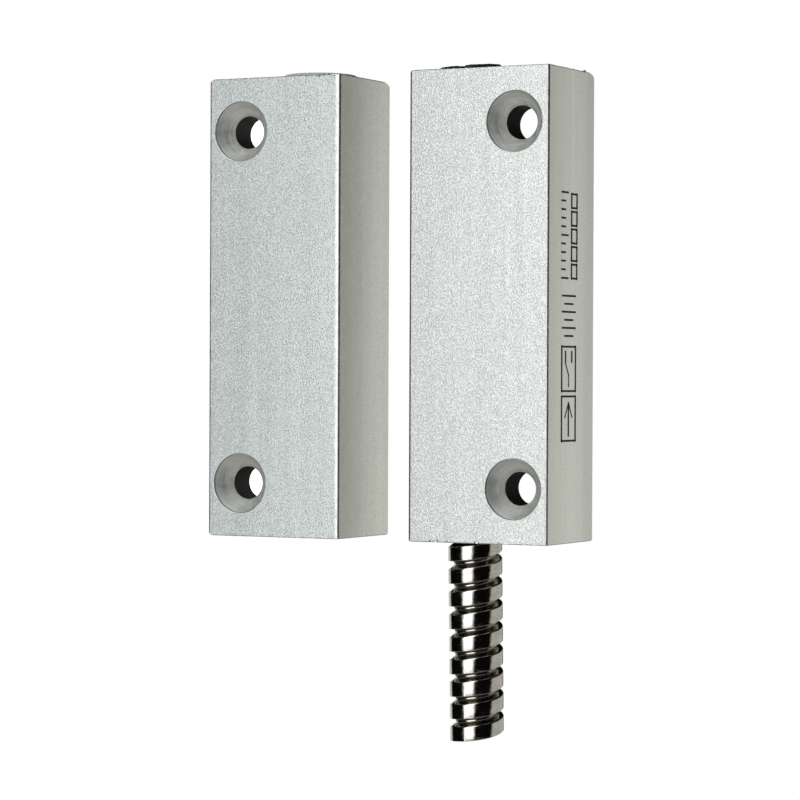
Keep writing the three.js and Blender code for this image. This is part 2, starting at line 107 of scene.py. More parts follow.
JACKET_RADIUS = 3.0
JACKET_INNER_RADIUS = 2.1
JACKET_INSIDE = 14.7
JACKET_RECESS = 3.2
CONDUCTOR_RADIUS = 0.82
CONDUCTOR_INNER_RADIUS = 0.45
CONDUCTOR_CIRCLE = 1.14
CONDUCTOR_RECESS = 2.7
CONDUCTOR_STRAIGHT = 0.8
STRAND_RADIUS = 0.11
STRANDS = 7
LOOM_X = 5.15
LOOP_END_X = 1.3
CARRIER_TOP = 28.0
CONTACT_JOINT = 27.6
COMMON_JOINT = -19.6

TOP = HOUSING_HEIGHT / 2
BOTTOM = -TOP
SCREW_X = HOUSING_WIDTH - SCREW_FROM_SIDE
SCREW_HEIGHTS = (SCREW_SPACING / 2, -SCREW_SPACING / 2)
COUNTERSINK_DEPTH = (COUNTERSINK_RADIUS - SCREW_HOLE_RADIUS) / math.tan(COUNTERSINK_HALF_ANGLE)

# Depths in the row frame, where the front face lies at -HOUSING_DEPTH and the back at 0.
# A thin streak of painted light runs down the sides at this depth.
SIDE_LIGHT_STREAK_DEPTH = -10.2
# Each unit's sides are painted palest at this depth and painted darker away from it, as painted shade.
SWITCH_SIDE_LIT_DEPTH = -10.4
MAGNET_SIDE_LIT_DEPTH = -1.0

SMOOTH_LIMIT = math.radians(32)
FLAT = 0.99999


# ---- frames of the two units
def unit_matrix(housing, mirrored):
    """From a unit's own frame in millimetres to the row frame in metres."""
    lo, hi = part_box(housing)
    across = -MM if mirrored else MM
    start = hi.x if mirrored else lo.x
    place = Matrix.Translation((start, lo.y, (lo.z + hi.z) / 2))
    return place @ Matrix.Diagonal((across, MM, MM, 1))


SWITCH = unit_matrix("switch_housing", mirrored=False)
MAGNET = unit_matrix("magnet_housing", mirrored=True)
BORE = Matrix.Translation((BORE_X, BORE_Y, 0))
CONDUIT_AXIS = (
    Matrix.Translation((BORE_X + CONDUIT_OFFSET_X, BORE_Y + CONDUIT_OFFSET_Y, BOTTOM))
    @ Matrix.Rotation(CONDUIT_LEAN_Y, 4, "X")
    @ Matrix.Rotation(CONDUIT_LEAN_X, 4, "Y")
)

# The places that pieces are made in: a frame, and the CAD body that carries it.
SWITCH_UNIT = (SWITCH, "switch_unit")
MAGNET_UNIT = (MAGNET, "magnet_unit")
SWITCH_BORE = (SWITCH @ BORE, "switch_unit")
MAGNET_BORE = (MAGNET @ BORE, "magnet_unit")
OUTLET = (SWITCH @ CONDUIT_AXIS, "switch_unit")


# ---- mesh helpers
def arc(cx, cy, radius, start, end, steps):
    """Points of an arc, both ends included, with angles in degrees."""
    points = []
    for i in range(steps + 1):
        t = math.radians(start + (end - start) * i / steps)
        points.append((cx + radius * math.cos(t), cy + radius * math.sin(t)))
    return points


def loft_mesh(name, rings, looped=False):
    """A closed mesh through rings of equal length: capped at its two ends, or looped."""
    count = len(rings[0])
    verts = [point for ring in rings for point in ring]
    faces = []
    spans = len(rings) if looped else len(rings) - 1
    for i in range(spans):
        low = i * count
        high = (i + 1) % len(rings) * count
        for j in range(count):
            k = (j + 1) % count
            faces.append((low + j, low + k, high + k, high + j))
    if not looped:
        last = (len(rings) - 1) * count
        faces.append(tuple(reversed(range(count))))
        faces.append(tuple(range(last, last + count)))
    mesh = bpy.data.meshes.new(name)
    mesh.from_pydata(verts, [], faces)
    return mesh


def full_turn(sides, first=0.0):
    """The angles of a ring's points, the first one after that part of a step."""
    return [2 * math.pi * (i + first) / sides for i in range(sides)]


def circle_ring(radius, z, sides, centre=(0.0, 0.0), first=0.0):
    cx, cy = centre[:2]
    angles = full_turn(sides, first)
    return [(cx + radius * math.cos(t), cy + radius * math.sin(t), z) for t in angles]


def turned_mesh(name, profile, sides, first=0.0):
    """A solid of revolution about Z through (radius, z) pairs, capped flat at both ends."""
    return loft_mesh(name, [circle_ring(r, z, sides, first=first) for r, z in profile])


def mesh_from(bm, name):
    """A mesh made of an edit mesh, which is used up."""
    mesh = bpy.data.meshes.new(name)
    bm.to_mesh(mesh)
    bm.free()
    return mesh


def joined_mesh(name, parts):
    """One mesh of several solids, which are used up."""
    bm = bmesh.new()
    for part in parts:
        bm.from_mesh(part)
        bpy.data.meshes.remove(part)
    return mesh_from(bm, name)


def rough(x, y, z):
    """Smooth noise between -1 and 1."""
    return noise.noise(Vector((x, y, z)))


def add_object(mesh):
    obj = bpy.data.objects.new(mesh.name, mesh)
    bpy.context.scene.collection.objects.link(obj)
    return obj


def outward(mesh):
    """Merges doubled points and turns every face outwards."""
    bm = bmesh.new()
    bm.from_mesh(mesh)
    bmesh.ops.remove_doubles(bm, verts=bm.verts, dist=1e-5)
    bmesh.ops.recalc_face_normals(bm, faces=bm.faces)
    bm.to_mesh(mesh)
    bm.free()
    return mesh


def is_flat(normal):
    """True for a face square to one of the unit's axes."""
    return max(abs(normal.x), abs(normal.y), abs(normal.z)) > FLAT


def shade(mesh):
    """Smooth shading that keeps flat faces flat: creases at sharp angles and round each flat face."""
    bm = bmesh.new()
    bm.from_mesh(mesh)
    for face in bm.faces:
        face.smooth = True
    for edge in bm.edges:
        if len(edge.link_faces) == 2:
            one, other = (face.normal for face in edge.link_faces)
            sharp = one.angle(other, 0.0) > SMOOTH_LIMIT
            edge.smooth = not (sharp or is_flat(one) != is_flat(other))
    bm.to_mesh(mesh)
    bm.free()


def carve(mesh, cutters, additions=()):
    """The mesh with the additions joined on and then every cutter taken out of it."""
    body = add_object(outward(mesh))
    tools = []
    for operation, shapes in (("UNION", additions), ("DIFFERENCE", cutters)):
        for shape in shapes:
            tool = add_object(outward(shape))
            modifier = body.modifiers.new(operation, "BOOLEAN")
            modifier.operation = operation
            modifier.solver = "EXACT"
            modifier.object = tool
            tools.append(tool)
    depsgraph = bpy.context.evaluated_depsgraph_get()
    result = bpy.data.meshes.new_from_object(body.evaluated_get(depsgraph))
    result.name = mesh.name
    for used in [body, *tools]:
        data = used.data
        bpy.data.objects.remove(used)
        bpy.data.meshes.remove(data)
    return result


def finish_piece(mesh, name, place, materials, slot, *replaces):
    """Shades the mesh, moves it to the row frame and hands it to the CAD body that it rides on."""
    matrix, body = place
    shade(mesh)
    mesh.transform(matrix)
    if matrix.determinant() < 0:
        mesh.flip_normals()
    mesh.name = name
    for material in materials:
        mesh.materials.append(material)
    piece = add_object(mesh)
    piece.name = name
    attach(piece, body)
    if replaces:
        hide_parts(*replaces)
    return piece


# ---- material helpers
class Nodes:
    """A node tree, with short ways to add the nodes that this script uses."""

    def __init__(self, tree):
        self.nodes = tree.nodes
        self.links = tree.links

    def put(self, value, socket):
        if isinstance(value, bpy.types.NodeSocket):
            self.links.new(value, socket)
        else:
            socket.default_value = value

    def math(self, operation, a, b=0.0):
        node = self.nodes.new("ShaderNodeMath")
        node.operation = operation
        self.put(a, node.inputs[0])
        self.put(b, node.inputs[1])
        return node.outputs["Value"]

    def spread(self, value, low, high, to_low=0.0, to_high=1.0):
        """A value eased from to_low at low to to_high at high."""
        node = self.nodes.new("ShaderNodeMapRange")
        node.interpolation_type = "SMOOTHSTEP"
        self.put(value, node.inputs["Value"])
        ends = {"From Min": low, "From Max": high, "To Min": to_low, "To Max": to_high}
        for name, number in ends.items():
            node.inputs[name].default_value = number
        return node.outputs["Result"]

    def axes(self, vector):
        """The X, Y and Z of a vector."""
        node = self.nodes.new("ShaderNodeSeparateXYZ")
        self.links.new(vector, node.inputs["Vector"])
        return [node.outputs[axis] for axis in "XYZ"]


class Shader(Nodes):
    """A material, with textures placed by the piece's own place in the row frame."""

    def __init__(self, name):
        self.material = bpy.data.materials.new(name)
        self.material.use_nodes = True
        super().__init__(self.material.node_tree)
        self.surface = self.nodes["Principled BSDF"]
        self.place = self.nodes.new("ShaderNodeTexCoord").outputs["Object"]

    def set(self, **values):
        for name, value in values.items():
            self.put(value, self.surface.inputs[name.replace("_", " ")])

    def finished(self, colour, normal, roughness, **others):
        """The material, with its textures and any other inputs of the surface set."""
        self.set(Base_Color=colour, Normal=normal, Roughness=roughness, **others)
        return self.material

    def stretched(self, x, y, z):
        """The place with each axis scaled, so that a texture comes out longer along a small one."""
        node = self.nodes.new("ShaderNodeMapping")
        node.inputs["Scale"].default_value = (x, y, z)
        self.links.new(self.place, node.inputs["Vector"])
        return node.outputs["Vector"]

    def across(self, lo, hi, to_low, to_high):
        """A slow change from to_low at lo.x to to_high at hi.x of the row frame."""
        x = self.axes(self.place)[0]
        return self.spread(x, lo.x, hi.x, to_low, to_high)

    def depth_from(self, y_mm):
        """The distance in millimetres in front of or behind a depth of the row frame."""
        y = self.axes(self.place)[1]
        offset = self.math("SUBTRACT", y, y_mm * MM)
        return self.math("MULTIPLY", self.math("ABSOLUTE", offset), 1 / MM)

    def noise(self, size_mm, detail=3.0, roughness=0.6, stretch=None):
        """Noise whose features are about size_mm across, or longer where an axis is scaled down."""
        node = self.nodes.new("ShaderNodeTexNoise")
        node.inputs["Scale"].default_value = 1 / (size_mm * MM)
        node.inputs["Detail"].default_value = detail
        node.inputs["Roughness"].default_value = roughness
        where = self.stretched(*stretch) if stretch else self.place
        self.links.new(where, node.inputs["Vector"])
        return node.outputs["Fac"]

    def cells(self, size_mm):
        """A random grey for each grain of about size_mm."""
        node = self.nodes.new("ShaderNodeTexVoronoi")
        node.inputs["Scale"].default_value = 1 / (size_mm * MM)
        self.links.new(self.place, node.inputs["Vector"])
        parts = self.nodes.new("ShaderNodeSeparateColor")
        self.links.new(node.outputs["Color"], parts.inputs["Color"])
        return parts.outputs["Red"]

    def total(self, *parts):
        """The sum of (value, weight) parts."""
        weighted = [self.math("MULTIPLY", value, weight) for value, weight in parts]
        result = weighted[0]
        for value in weighted[1:]:
            result = self.math("ADD", result, value)
        return result

    def over(self, value, to_low, to_high):
        """From to_low to to_high over the range that noise mostly keeps to."""
        return self.spread(value, 0.3, 0.7, to_low, to_high)

    def tint(self, tone, dark, light, low=0.3, high=0.7):
        """From dark to light as the tone goes from low to high."""
        return self.blend(self.spread(tone, low, high), dark, light)

    def blend(self, share, a, b):
        node = self.nodes.new("ShaderNodeMix")
        node.data_type = "RGBA"
        self.put(share, node.inputs["Factor"])
        self.put(a, node.inputs[6])
        self.put(b, node.inputs[7])
        return node.outputs[2]

    def relief(self, height, depth_mm, strength=1.0, under=None):
        """Bump from a 0 to 1 height that stands depth_mm deep."""
        node = self.nodes.new("ShaderNodeBump")
        node.inputs["Strength"].default_value = strength
        node.inputs["Distance"].default_value = depth_mm * MM
        self.links.new(height, node.inputs["Height"])
        if under:
            self.links.new(under, node.inputs["Normal"])
        return node.outputs["Normal"]


def rgb(red, green, blue):
    return (red, green, blue, 1.0)


# ---- materials
def blasted_aluminium(name, housing, dark, light):
    """The front of the extrusion, bead blasted: grains, soft mottling, faint lines, and painted light
    that makes it paler to +X.
    """
    s = Shader(name)
    grain = s.noise(0.32, detail=2.0)
    speck = s.cells(0.24)
    mottle = s.noise(2.4, detail=4.0)
    lines = s.noise(1.2, detail=2.0, stretch=(1, 1, 0.03))
    streaks = s.noise(4.5, detail=2.0, stretch=(1, 1, 0.02))
    tone = s.total((grain, 0.50), (speck, 0.18), (mottle, 0.15), (lines, 0.07), (streaks, 0.10))
    # Painted light: the front is painted paler towards +X of the row frame, where it catches more of
    # the key light.
    tone = s.math("ADD", tone, s.across(*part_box(housing), -0.020, 0.034))
    colour = s.tint(tone, dark, light, 0.36, 0.64)
    normal = s.relief(speck, 0.010, strength=0.9)
    normal = s.relief(grain, 0.057, strength=0.9, under=normal)
    return s.finished(colour, normal, s.over(mottle, 0.36, 0.44), Metallic=1.0)


def side_aluminium(name, painted_light_depth, reach_mm, painted_shade_share, light_streak_share):
    """The sides, finer than the front, with painted light and shade: palest at one depth, painted
    darker over reach_mm away from it, and a thin painted light streak.
    """
    s = Shader(name)
    grain = s.noise(0.30, detail=2.0)
    mottle = s.noise(2.6)
    lines = s.noise(1.6, detail=2.0, stretch=(1, 1, 0.03))
    tone = s.total((grain, 0.62), (mottle, 0.24), (lines, 0.14))
    colour = s.tint(tone, rgb(0.66, 0.675, 0.635), rgb(0.96, 0.97, 0.92))
    # Painted shade: the side is painted darker away from its lit depth, as the light falls across it.
    away = s.depth_from(painted_light_depth)
    painted_side_shade = s.spread(away, 1.0, reach_mm, 0.0, painted_shade_share)
    colour = s.blend(painted_side_shade, colour, rgb(0.36, 0.37, 0.34))
    # Painted light: a thin paler streak painted down the side at one depth.
    painted_light_streak = s.spread(s.depth_from(SIDE_LIGHT_STREAK_DEPTH), 0.10, 0.60, light_streak_share, 0.0)
    colour = s.blend(painted_light_streak, colour, rgb(0.97, 0.97, 0.94))
    normal = s.relief(grain, 0.03, strength=0.8)
    return s.finished(colour, normal, s.over(mottle, 0.36, 0.42), Metallic=1.0)


def worn_edge(name, dark, light, gloss_low, gloss_high):
    """The long front corners, rubbed bright and a little wavy."""
    s = Shader(name)
    waves = s.noise(1.3, stretch=(1, 1, 0.7))
    grain = s.noise(0.30, detail=2.0)
    colour = s.tint(grain, dark, light)
    normal = s.relief(waves, 0.06, strength=0.8)
    normal = s.relief(grain, 0.03, strength=0.8, under=normal)
    return s.finished(colour, normal, s.over(waves, gloss_low, gloss_high), Metallic=1.0)


def turned_aluminium():
    """Cut by the countersink: rings of tool marks, and painted shade that darkens it towards the rim.
    """
    s = Shader("turned_aluminium")
    marks = s.noise(0.22, roughness=0.7, stretch=(0.03, 1, 0.03))
    mottle = s.noise(1.2)
    tone = s.total((marks, 0.7), (mottle, 0.3))
    colour = s.tint(tone, rgb(0.64, 0.645, 0.61), rgb(0.90, 0.905, 0.87))
    # Painted shade: the cone is painted darker near the rim than near the hole.
    rim = s.spread(s.depth_from(-HOUSING_DEPTH), 0.4, 3.0, 0.40, 0.0)
    colour = s.blend(rim, colour, rgb(0.34, 0.345, 0.32))
    normal = s.relief(marks, 0.04, strength=0.7)
    return s.finished(colour, normal, s.over(mottle, 0.50, 0.62), Metallic=1.0)


def sawn_aluminium():
    """The ends: pale, dull, with the saw's lines across them."""
    s = Shader("sawn_aluminium")
    lines = s.noise(0.20, stretch=(0.04, 1, 1))
    mottle = s.noise(1.8)
    tone = s.total((lines, 0.6), (mottle, 0.4))
    colour = s.tint(tone, rgb(0.70, 0.71, 0.70), rgb(0.95, 0.96, 0.95))
    normal = s.relief(lines, 0.03, strength=0.6)
    return s.finished(colour, normal, s.over(tone, 0.55, 0.68), Metallic=0.75)


def shaded_drilling():
    """The drilled wall of a screw hole, painted near black as shade, with the drill's feed marks."""
    s = Shader("shaded_drilling")
    marks = s.noise(0.12, detail=2.0, stretch=(0.05, 1, 0.05))
    blotches = s.noise(0.8)
    # Painted shade: the hole's wall is painted near black where it lies in shadow.
    colour = s.blend(blotches, rgb(0.008, 0.008, 0.007), rgb(0.020, 0.020, 0.018))
    normal = s.relief(marks, 0.01, strength=0.4)
    return s.finished(colour, normal, s.over(marks, 0.6, 0.8), Specular_IOR_Level=0.15)


def extruded_aluminium():
    """The channel behind the screws, left bright from the die, with lines along the extrusion."""
    s = Shader("extruded_aluminium")
    lines = s.noise(0.35, stretch=(1, 1, 0.01))
    mottle = s.noise(3.0)
    colour = s.tint(mottle, rgb(0.86, 0.87, 0.87), rgb(0.93, 0.94, 0.94))
    normal = s.relief(lines, 0.004, strength=0.2)
    return s.finished(colour, normal, s.over(lines, 0.07, 0.12), Metallic=1.0)


def stainless_strip():
    """Bright rolled strip with streaks round the conduit and a few dull specks."""
    s = Shader("stainless_strip")
    streaks = s.noise(0.30, roughness=0.65, stretch=(0.16, 0.16, 1))
    waves = s.noise(0.60, detail=2.0, stretch=(0.6, 0.6, 1))
    smears = s.noise(1.6)
    specks = s.spread(s.noise(0.35, detail=2.0), 0.70, 0.76)
    tone = s.total((streaks, 0.6), (smears, 0.4))
    colour = s.tint(tone, rgb(0.415, 0.395, 0.355), rgb(0.55, 0.525, 0.48), 0.36, 0.64)
    colour = s.blend(s.math("MULTIPLY", specks, 0.6), colour, rgb(0.12, 0.11, 0.10))
    normal = s.relief(waves, 0.03, strength=0.8)
    normal = s.relief(streaks, 0.010, strength=0.7, under=normal)
    return s.finished(colour, normal, s.spread(tone, 0.36, 0.64, 0.07, 0.16), Metallic=1.0)


def shaded_groove_stainless():
    """The strip in the corner of its groove under the lip, painted dark as shade."""
    s = Shader("shaded_groove_stainless")
    groove_shade_tone = s.noise(0.5, detail=4.0)
    # Painted shade: the groove's corner is painted near black where the turn above shades it.
    colour = s.tint(groove_shade_tone, rgb(0.030, 0.027, 0.023), rgb(0.10, 0.093, 0.080))
    normal = s.relief(groove_shade_tone, 0.03, strength=0.6)
    return s.finished(colour, normal, s.over(groove_shade_tone, 0.3, 0.5), Metallic=0.9)


def black_potting():
    """Poured black resin: uneven skin, small pits and a few dusty specks."""
    s = Shader("black_potting")
    skin = s.noise(1.4, detail=4.0)
    pits = s.noise(0.3)
    dust = s.spread(s.noise(0.22, detail=2.0), 0.66, 0.74)
    colour = s.blend(skin, rgb(0.008, 0.008, 0.009), rgb(0.022, 0.022, 0.022))
    colour = s.blend(s.math("MULTIPLY", dust, 0.35), colour, rgb(0.16, 0.16, 0.15))
    height = s.math("ADD", skin, s.math("MULTIPLY", pits, 0.25))
    normal = s.relief(height, 0.12, strength=0.5)
    return s.finished(colour, normal, s.over(skin, 0.35, 0.6), Specular_IOR_Level=0.4)


def moulded_plastic(name, dark, light, milky_mm=0.0):
    """Moulded plastic with a fine spark-eroded grain and flow marks; light seeps milky_mm into it."""
    s = Shader(name)
    grain = s.noise(0.18, detail=2.0)
    flow = s.noise(2.8)
    specks = s.spread(s.noise(0.4, detail=2.0), 0.68, 0.74)
    tone = s.total((grain, 0.4), (flow, 0.6))
    colour = s.tint(tone, dark, light)
    shadow = tuple(0.55 * part for part in dark[:3])
    colour = s.blend(s.math("MULTIPLY", specks, 0.5), colour, rgb(*shadow))
    if milky_mm:
        s.set(Subsurface_Weight=1.0, Subsurface_Radius=(1, 1, 1), Subsurface_Scale=milky_mm * MM)
    return s.finished(colour, s.relief(grain, 0.02, strength=0.4), s.over(flow, 0.42, 0.56))


def drawn_metal(name, dark, light, gloss_low, gloss_high):
    """Wire, blade, rod or solder: scratches along its length over a slightly clouded colour."""
    s = Shader(name)
    scratches = s.noise(0.15, stretch=(1, 1, 0.05))
    clouds = s.noise(1.2)
    tone = s.total((scratches, 0.5), (clouds, 0.5))
    colour = s.tint(tone, dark, light, 0.35, 0.65)
    normal = s.relief(scratches, 0.006, strength=0.3)
    return s.finished(colour, normal, s.over(tone, gloss_low, gloss_high), Metallic=1.0)


def capsule_glass():
    """Pale green reed-switch glass with faint drawn cords in it."""
    s = Shader("capsule_glass")
    cords = s.noise(0.7, detail=2.0, stretch=(1, 1, 0.05))
    colour = s.tint(cords, rgb(0.62, 0.80, 0.64), rgb(0.74, 0.90, 0.76))
    normal = s.relief(cords, 0.02, strength=0.2)
    return s.finished(colour, normal, s.over(cords, 0.01, 0.05), Transmission_Weight=1.0, IOR=1.52)


def printed_ink():
    """Dark ink, thin enough in places for the metal's grain to break it up."""
    s = Shader("printed_ink")
    grain = s.noise(0.16)
    wear = s.spread(grain, 0.58, 0.72)
    colour = s.blend(wear, rgb(0.030, 0.030, 0.028), rgb(0.16, 0.16, 0.15))
    normal = s.relief(grain, 0.02, strength=0.5)
    return s.finished(colour, normal, s.over(grain, 0.5, 0.8), Specular_IOR_Level=0.3)


SWITCH_ALUMINIUM = blasted_aluminium(
    "switch_aluminium", "switch_housing", rgb(0.385, 0.397, 0.387), rgb(0.605, 0.622, 0.607)
)
MAGNET_ALUMINIUM = blasted_aluminium(
    "magnet_aluminium", "magnet_housing", rgb(0.335, 0.356, 0.350), rgb(0.535, 0.562, 0.554)
)
SWITCH_SIDES = side_aluminium("switch_sides", SWITCH_SIDE_LIT_DEPTH, 9.5, 0.22, 0.30)
MAGNET_SIDES = side_aluminium("magnet_sides", MAGNET_SIDE_LIT_DEPTH, 18.0, 0.55, 0.05)
WORN_EDGE = worn_edge("worn_edge", rgb(0.50, 0.52, 0.51), rgb(0.68, 0.69, 0.68), 0.38, 0.48)
SOFT_EDGE = worn_edge("soft_edge", rgb(0.34, 0.35, 0.34), rgb(0.50, 0.51, 0.50), 0.36, 0.45)
TURNED = turned_aluminium()
SAWN = sawn_aluminium()
SHADED_DRILLING = shaded_drilling()
EXTRUDED = extruded_aluminium()
STAINLESS = stainless_strip()
GROOVE_SHADE = shaded_groove_stainless()
POTTING = black_potting()
PALE_PLASTIC = moulded_plastic(
    "pale_plastic", rgb(0.80, 0.79, 0.70), rgb(0.93, 0.92, 0.82), milky_mm=7.0
)
CARRIER_PLASTIC = moulded_plastic("carrier_plastic", rgb(0.60, 0.57, 0.48), rgb(0.70, 0.67, 0.58))
JACKET_VINYL = moulded_plastic("jacket_vinyl", rgb(0.07, 0.075, 0.08), rgb(0.12, 0.125, 0.13))
WHITE_WIRE = moulded_plastic("white_insulation", rgb(0.70, 0.69, 0.64), rgb(0.82, 0.81, 0.76))
RED_WIRE = moulded_plastic("red_insulation", rgb(0.32, 0.020, 0.015), rgb(0.46, 0.035, 0.025))
GREEN_WIRE = moulded_plastic("green_insulation", rgb(0.015, 0.11, 0.035), rgb(0.030, 0.19, 0.060))
COPPER = drawn_metal("copper_strand", rgb(0.62, 0.27, 0.13), rgb(0.86, 0.46, 0.27), 0.2, 0.38)
REED_ALLOY = drawn_metal("reed_alloy", rgb(0.50, 0.48, 0.42), rgb(0.66, 0.63, 0.56), 0.18, 0.32)
SOLDER = drawn_metal("solder", rgb(0.55, 0.56, 0.57), rgb(0.76, 0.77, 0.78), 0.18, 0.4)
MAGNET_ALLOY = drawn_metal("magnet_alloy", rgb(0.10, 0.10, 0.11), rgb(0.20, 0.20, 0.21), 0.3, 0.5)
SPACER_STEEL = drawn_metal("spacer_steel", rgb(0.35, 0.36, 0.37), rgb(0.50, 0.51, 0.52), 0.25, 0.4)
GLASS = capsule_glass()
INK = printed_ink()


# ---- housings
# A front corner: the radius of its wide shoulder, the shoulder's angle in degrees, and the tight
# radius that it turns with after that.
CRISP = (1.2, 1.0, 0.60)
EASED = (3.0, 4.0, 0.42)
WORN = (5.0, 7.0, 0.45)


def front_corner(inset, shoulder):
    """A front corner, from the front face to the side, for a side at x = 0 and a face at y = 0.

    The face first falls off along a wide shoulder, a radius and an angle, and then turns sharply.
    """
    wide, fall, tight = shoulder
    sine = math.sin(math.radians(fall))
    cosine = math.cos(math.radians(fall))
    start = -(wide * sine + tight * (1 - sine))
    turn_x = start + (wide - tight) * sine
    turn_y = wide - (wide - tight) * cosine
    return [
        *arc(start, wide, wide - inset, -90, fall - 90, 4),
        *arc(turn_x, turn_y, tight - inset, fall - 90, 0, 12)[1:],
    ]


def housing_outline(inset, shoulders):
    """The extrusion's outline moved inwards by inset: bored half, flat foot, web and side wall."""
    d = inset
    bore_corner, screw_corner = (front_corner(inset, shoulder) for shoulder in shoulders)
    wall = BORE_RADIUS + BORE_WALL - d
    web_angle = math.degrees(math.asin((SCREW_WEB - d - BORE_Y) / wall))
    foot_angle = math.degrees(math.acos((FOOT_WIDTH - d - BORE_X) / wall))
    channel_x = HOUSING_WIDTH - SCREW_SIDE_WALL
    back = BACK_EDGE_RADIUS
    inner = INNER_EDGE_RADIUS
    fillet = CHANNEL_FILLET
    depth = HOUSING_DEPTH
    width = HOUSING_WIDTH
    return [
        *[(width + x, y) for x, y in screw_corner],
        *arc(width - back, depth - back, back - d, 0, 90, 6),
        *arc(channel_x + inner, depth - inner, inner - d, 90, 180, 4),
        *arc(channel_x - fillet, SCREW_WEB + fillet, fillet + d, 0, -90, 8),
        *arc(BORE_X, BORE_Y, wall, web_angle, foot_angle, 24),
        *arc(FOOT_WIDTH - inner, depth - inner, inner - d, 0, 90, 4),
        *arc(back, depth - back, back - d, 90, 180, 6),
        *[(-x, y) for x, y in reversed(bore_corner)],
    ]


def subdivided(outline, like, step):
    """The outline with points added along its straight parts, as many as the outline like needs."""
    points = []
    for i, (x, y) in enumerate(outline):
        next_x, next_y = outline[(i + 1) % len(outline)]
        parts = max(1, round(math.dist(like[i], like[(i + 1) % len(like)]) / step))
        points += [(x + (next_x - x) * k / parts, y + (next_y - y) * k / parts) for k in range(parts)]
    return points


def housing_blank(shoulders, seed):
    """The extrusion cut to length, with its end edges unevenly eased."""
    steps = 3
    point_spacing = 0.45
    unevenness = 0.8
    plain = housing_outline(0.0, shoulders)
    rings = []
    for side in (-1, 1):
        order = range(steps + 1) if side > 0 else range(steps, -1, -1)
        for i in order:
            t = math.radians(90 * i / steps)
            inset = END_EASE * (1 - math.cos(t))
            rise = END_EASE * (1 - math.sin(t))
            ring = []
            for x, y in subdivided(housing_outline(inset, shoulders), plain, point_spacing):
                uneven = 1 + unevenness * rough(1.9 * x, 1.9 * y, seed + side)
                ring.append((x, y, side * (TOP - rise * uneven)))
            rings.append(ring)
    return loft_mesh("housing_blank", rings)


def bore_cutter():
    beyond = 1.0
    chamfer = 0.25
    profile = [
        (BORE_RADIUS + chamfer + beyond, BOTTOM - beyond),
        (BORE_RADIUS, BOTTOM + chamfer),
        (BORE_RADIUS, TOP - chamfer),
        (BORE_RADIUS + chamfer + beyond, TOP + beyond),
    ]
    mesh = turned_mesh("bore_cutter", profile, 128, first=0.5)
    mesh.transform(BORE)
    return mesh


def screw_hole_cutter(height, ease):
    """The drill and the countersink: eased rim, straight land, a small step, the cone, the hole."""
    beyond = 1.0
    ledge = 0.16
    ragged = 0.06
    land_end = COUNTERSINK_LAND
    mouth = COUNTERSINK_RADIUS
    hole = SCREW_HOLE_RADIUS
    floor = land_end + COUNTERSINK_DEPTH
    profile = [(mouth + ease + 0.4, -0.1)]
    for t in (20, 45, 70, 90):
        angle = math.radians(t)
        profile.append((mouth + ease * (1 - math.sin(angle)), ease * (1 - math.cos(angle))))
    profile += [
        (mouth - 0.02, land_end - 0.06),
        (mouth - 0.06, land_end - 0.02),
        (mouth - ledge, land_end + 0.02),
        (hole + 0.06, floor - 0.06),
        (hole, floor + 0.03),
        (hole, SCREW_WEB - 0.12),
        (hole + 0.12, SCREW_WEB),
        (hole + 0.12, SCREW_WEB + beyond),
    ]
    sides = 120
    rings = []
    for radius, depth in profile:
        ring = []
        for t in full_turn(sides, first=0.5):
            burr = ragged * rough(3.1 * math.cos(t), 3.1 * math.sin(t), height)
            r = radius + (burr if depth < ease + 0.01 else 0)
            ring.append((SCREW_X + r * math.cos(t), depth, height + r * math.sin(t)))
        rings.append(ring)
    return loft_mesh("screw_hole_cutter", rings)


def corner_outline(edge, outwards, reach, height, end, beyond, steps):
    """The corner of an end outside a quarter ellipse, as (across, z) pairs."""
    outline = []
    for i in range(steps + 1):
        t = math.radians(90 * i / steps)
        across = edge - outwards * reach * (1 - math.sin(t))
        outline.append((across, end * (TOP - height * (1 - math.cos(t)))))
    return [
        *outline,
        (edge + outwards * beyond, end * (TOP - height)),
        (edge + outwards * beyond, end * (TOP + beyond)),
        (edge - outwards * reach, end * (TOP + beyond)),
    ]


def back_edge_cutter(easing, end):
    """What easing the sawn back edge takes off an end."""
    beyond = 1.0
    outline = corner_outline(HOUSING_DEPTH, 1, *easing, end, beyond, steps=12)
    rings = [[(x, y, z) for y, z in outline] for x in (-beyond, HOUSING_WIDTH + beyond)]
    return loft_mesh("back_edge_cutter", rings)


def rounded_end_cutter(screw_side, radius, end):
    """What handling has rounded off the end edge of one side."""
    beyond = 1.5
    edge, outwards = (HOUSING_WIDTH, 1) if screw_side else (0.0, -1)
    outline = corner_outline(edge, outwards, radius, radius, end, beyond, steps=8)
    rings = [[(x, y, z) for x, z in outline] for y in (-beyond, HOUSING_DEPTH + beyond)]
    return loft_mesh("rounded_end_cutter", rings)


def lump(place, size, seed):
    """A small uneven lump: a burr, or what a knock or the saw takes out of an edge."""
    draw = random.Random(seed)
    bm = bmesh.new()
    bmesh.ops.create_icosphere(bm, subdivisions=2, radius=size)
    squash = Vector((draw.uniform(0.7, 1.6), draw.uniform(0.7, 1.2), draw.uniform(0.5, 1.2)))
    for vert in bm.verts:
        wobble = 1 + 0.5 * noise.noise(vert.co * 9 + Vector((seed, 0, 0)))
        vert.co = Vector(place) + vert.co * wobble * squash
    return mesh_from(bm, "lump")


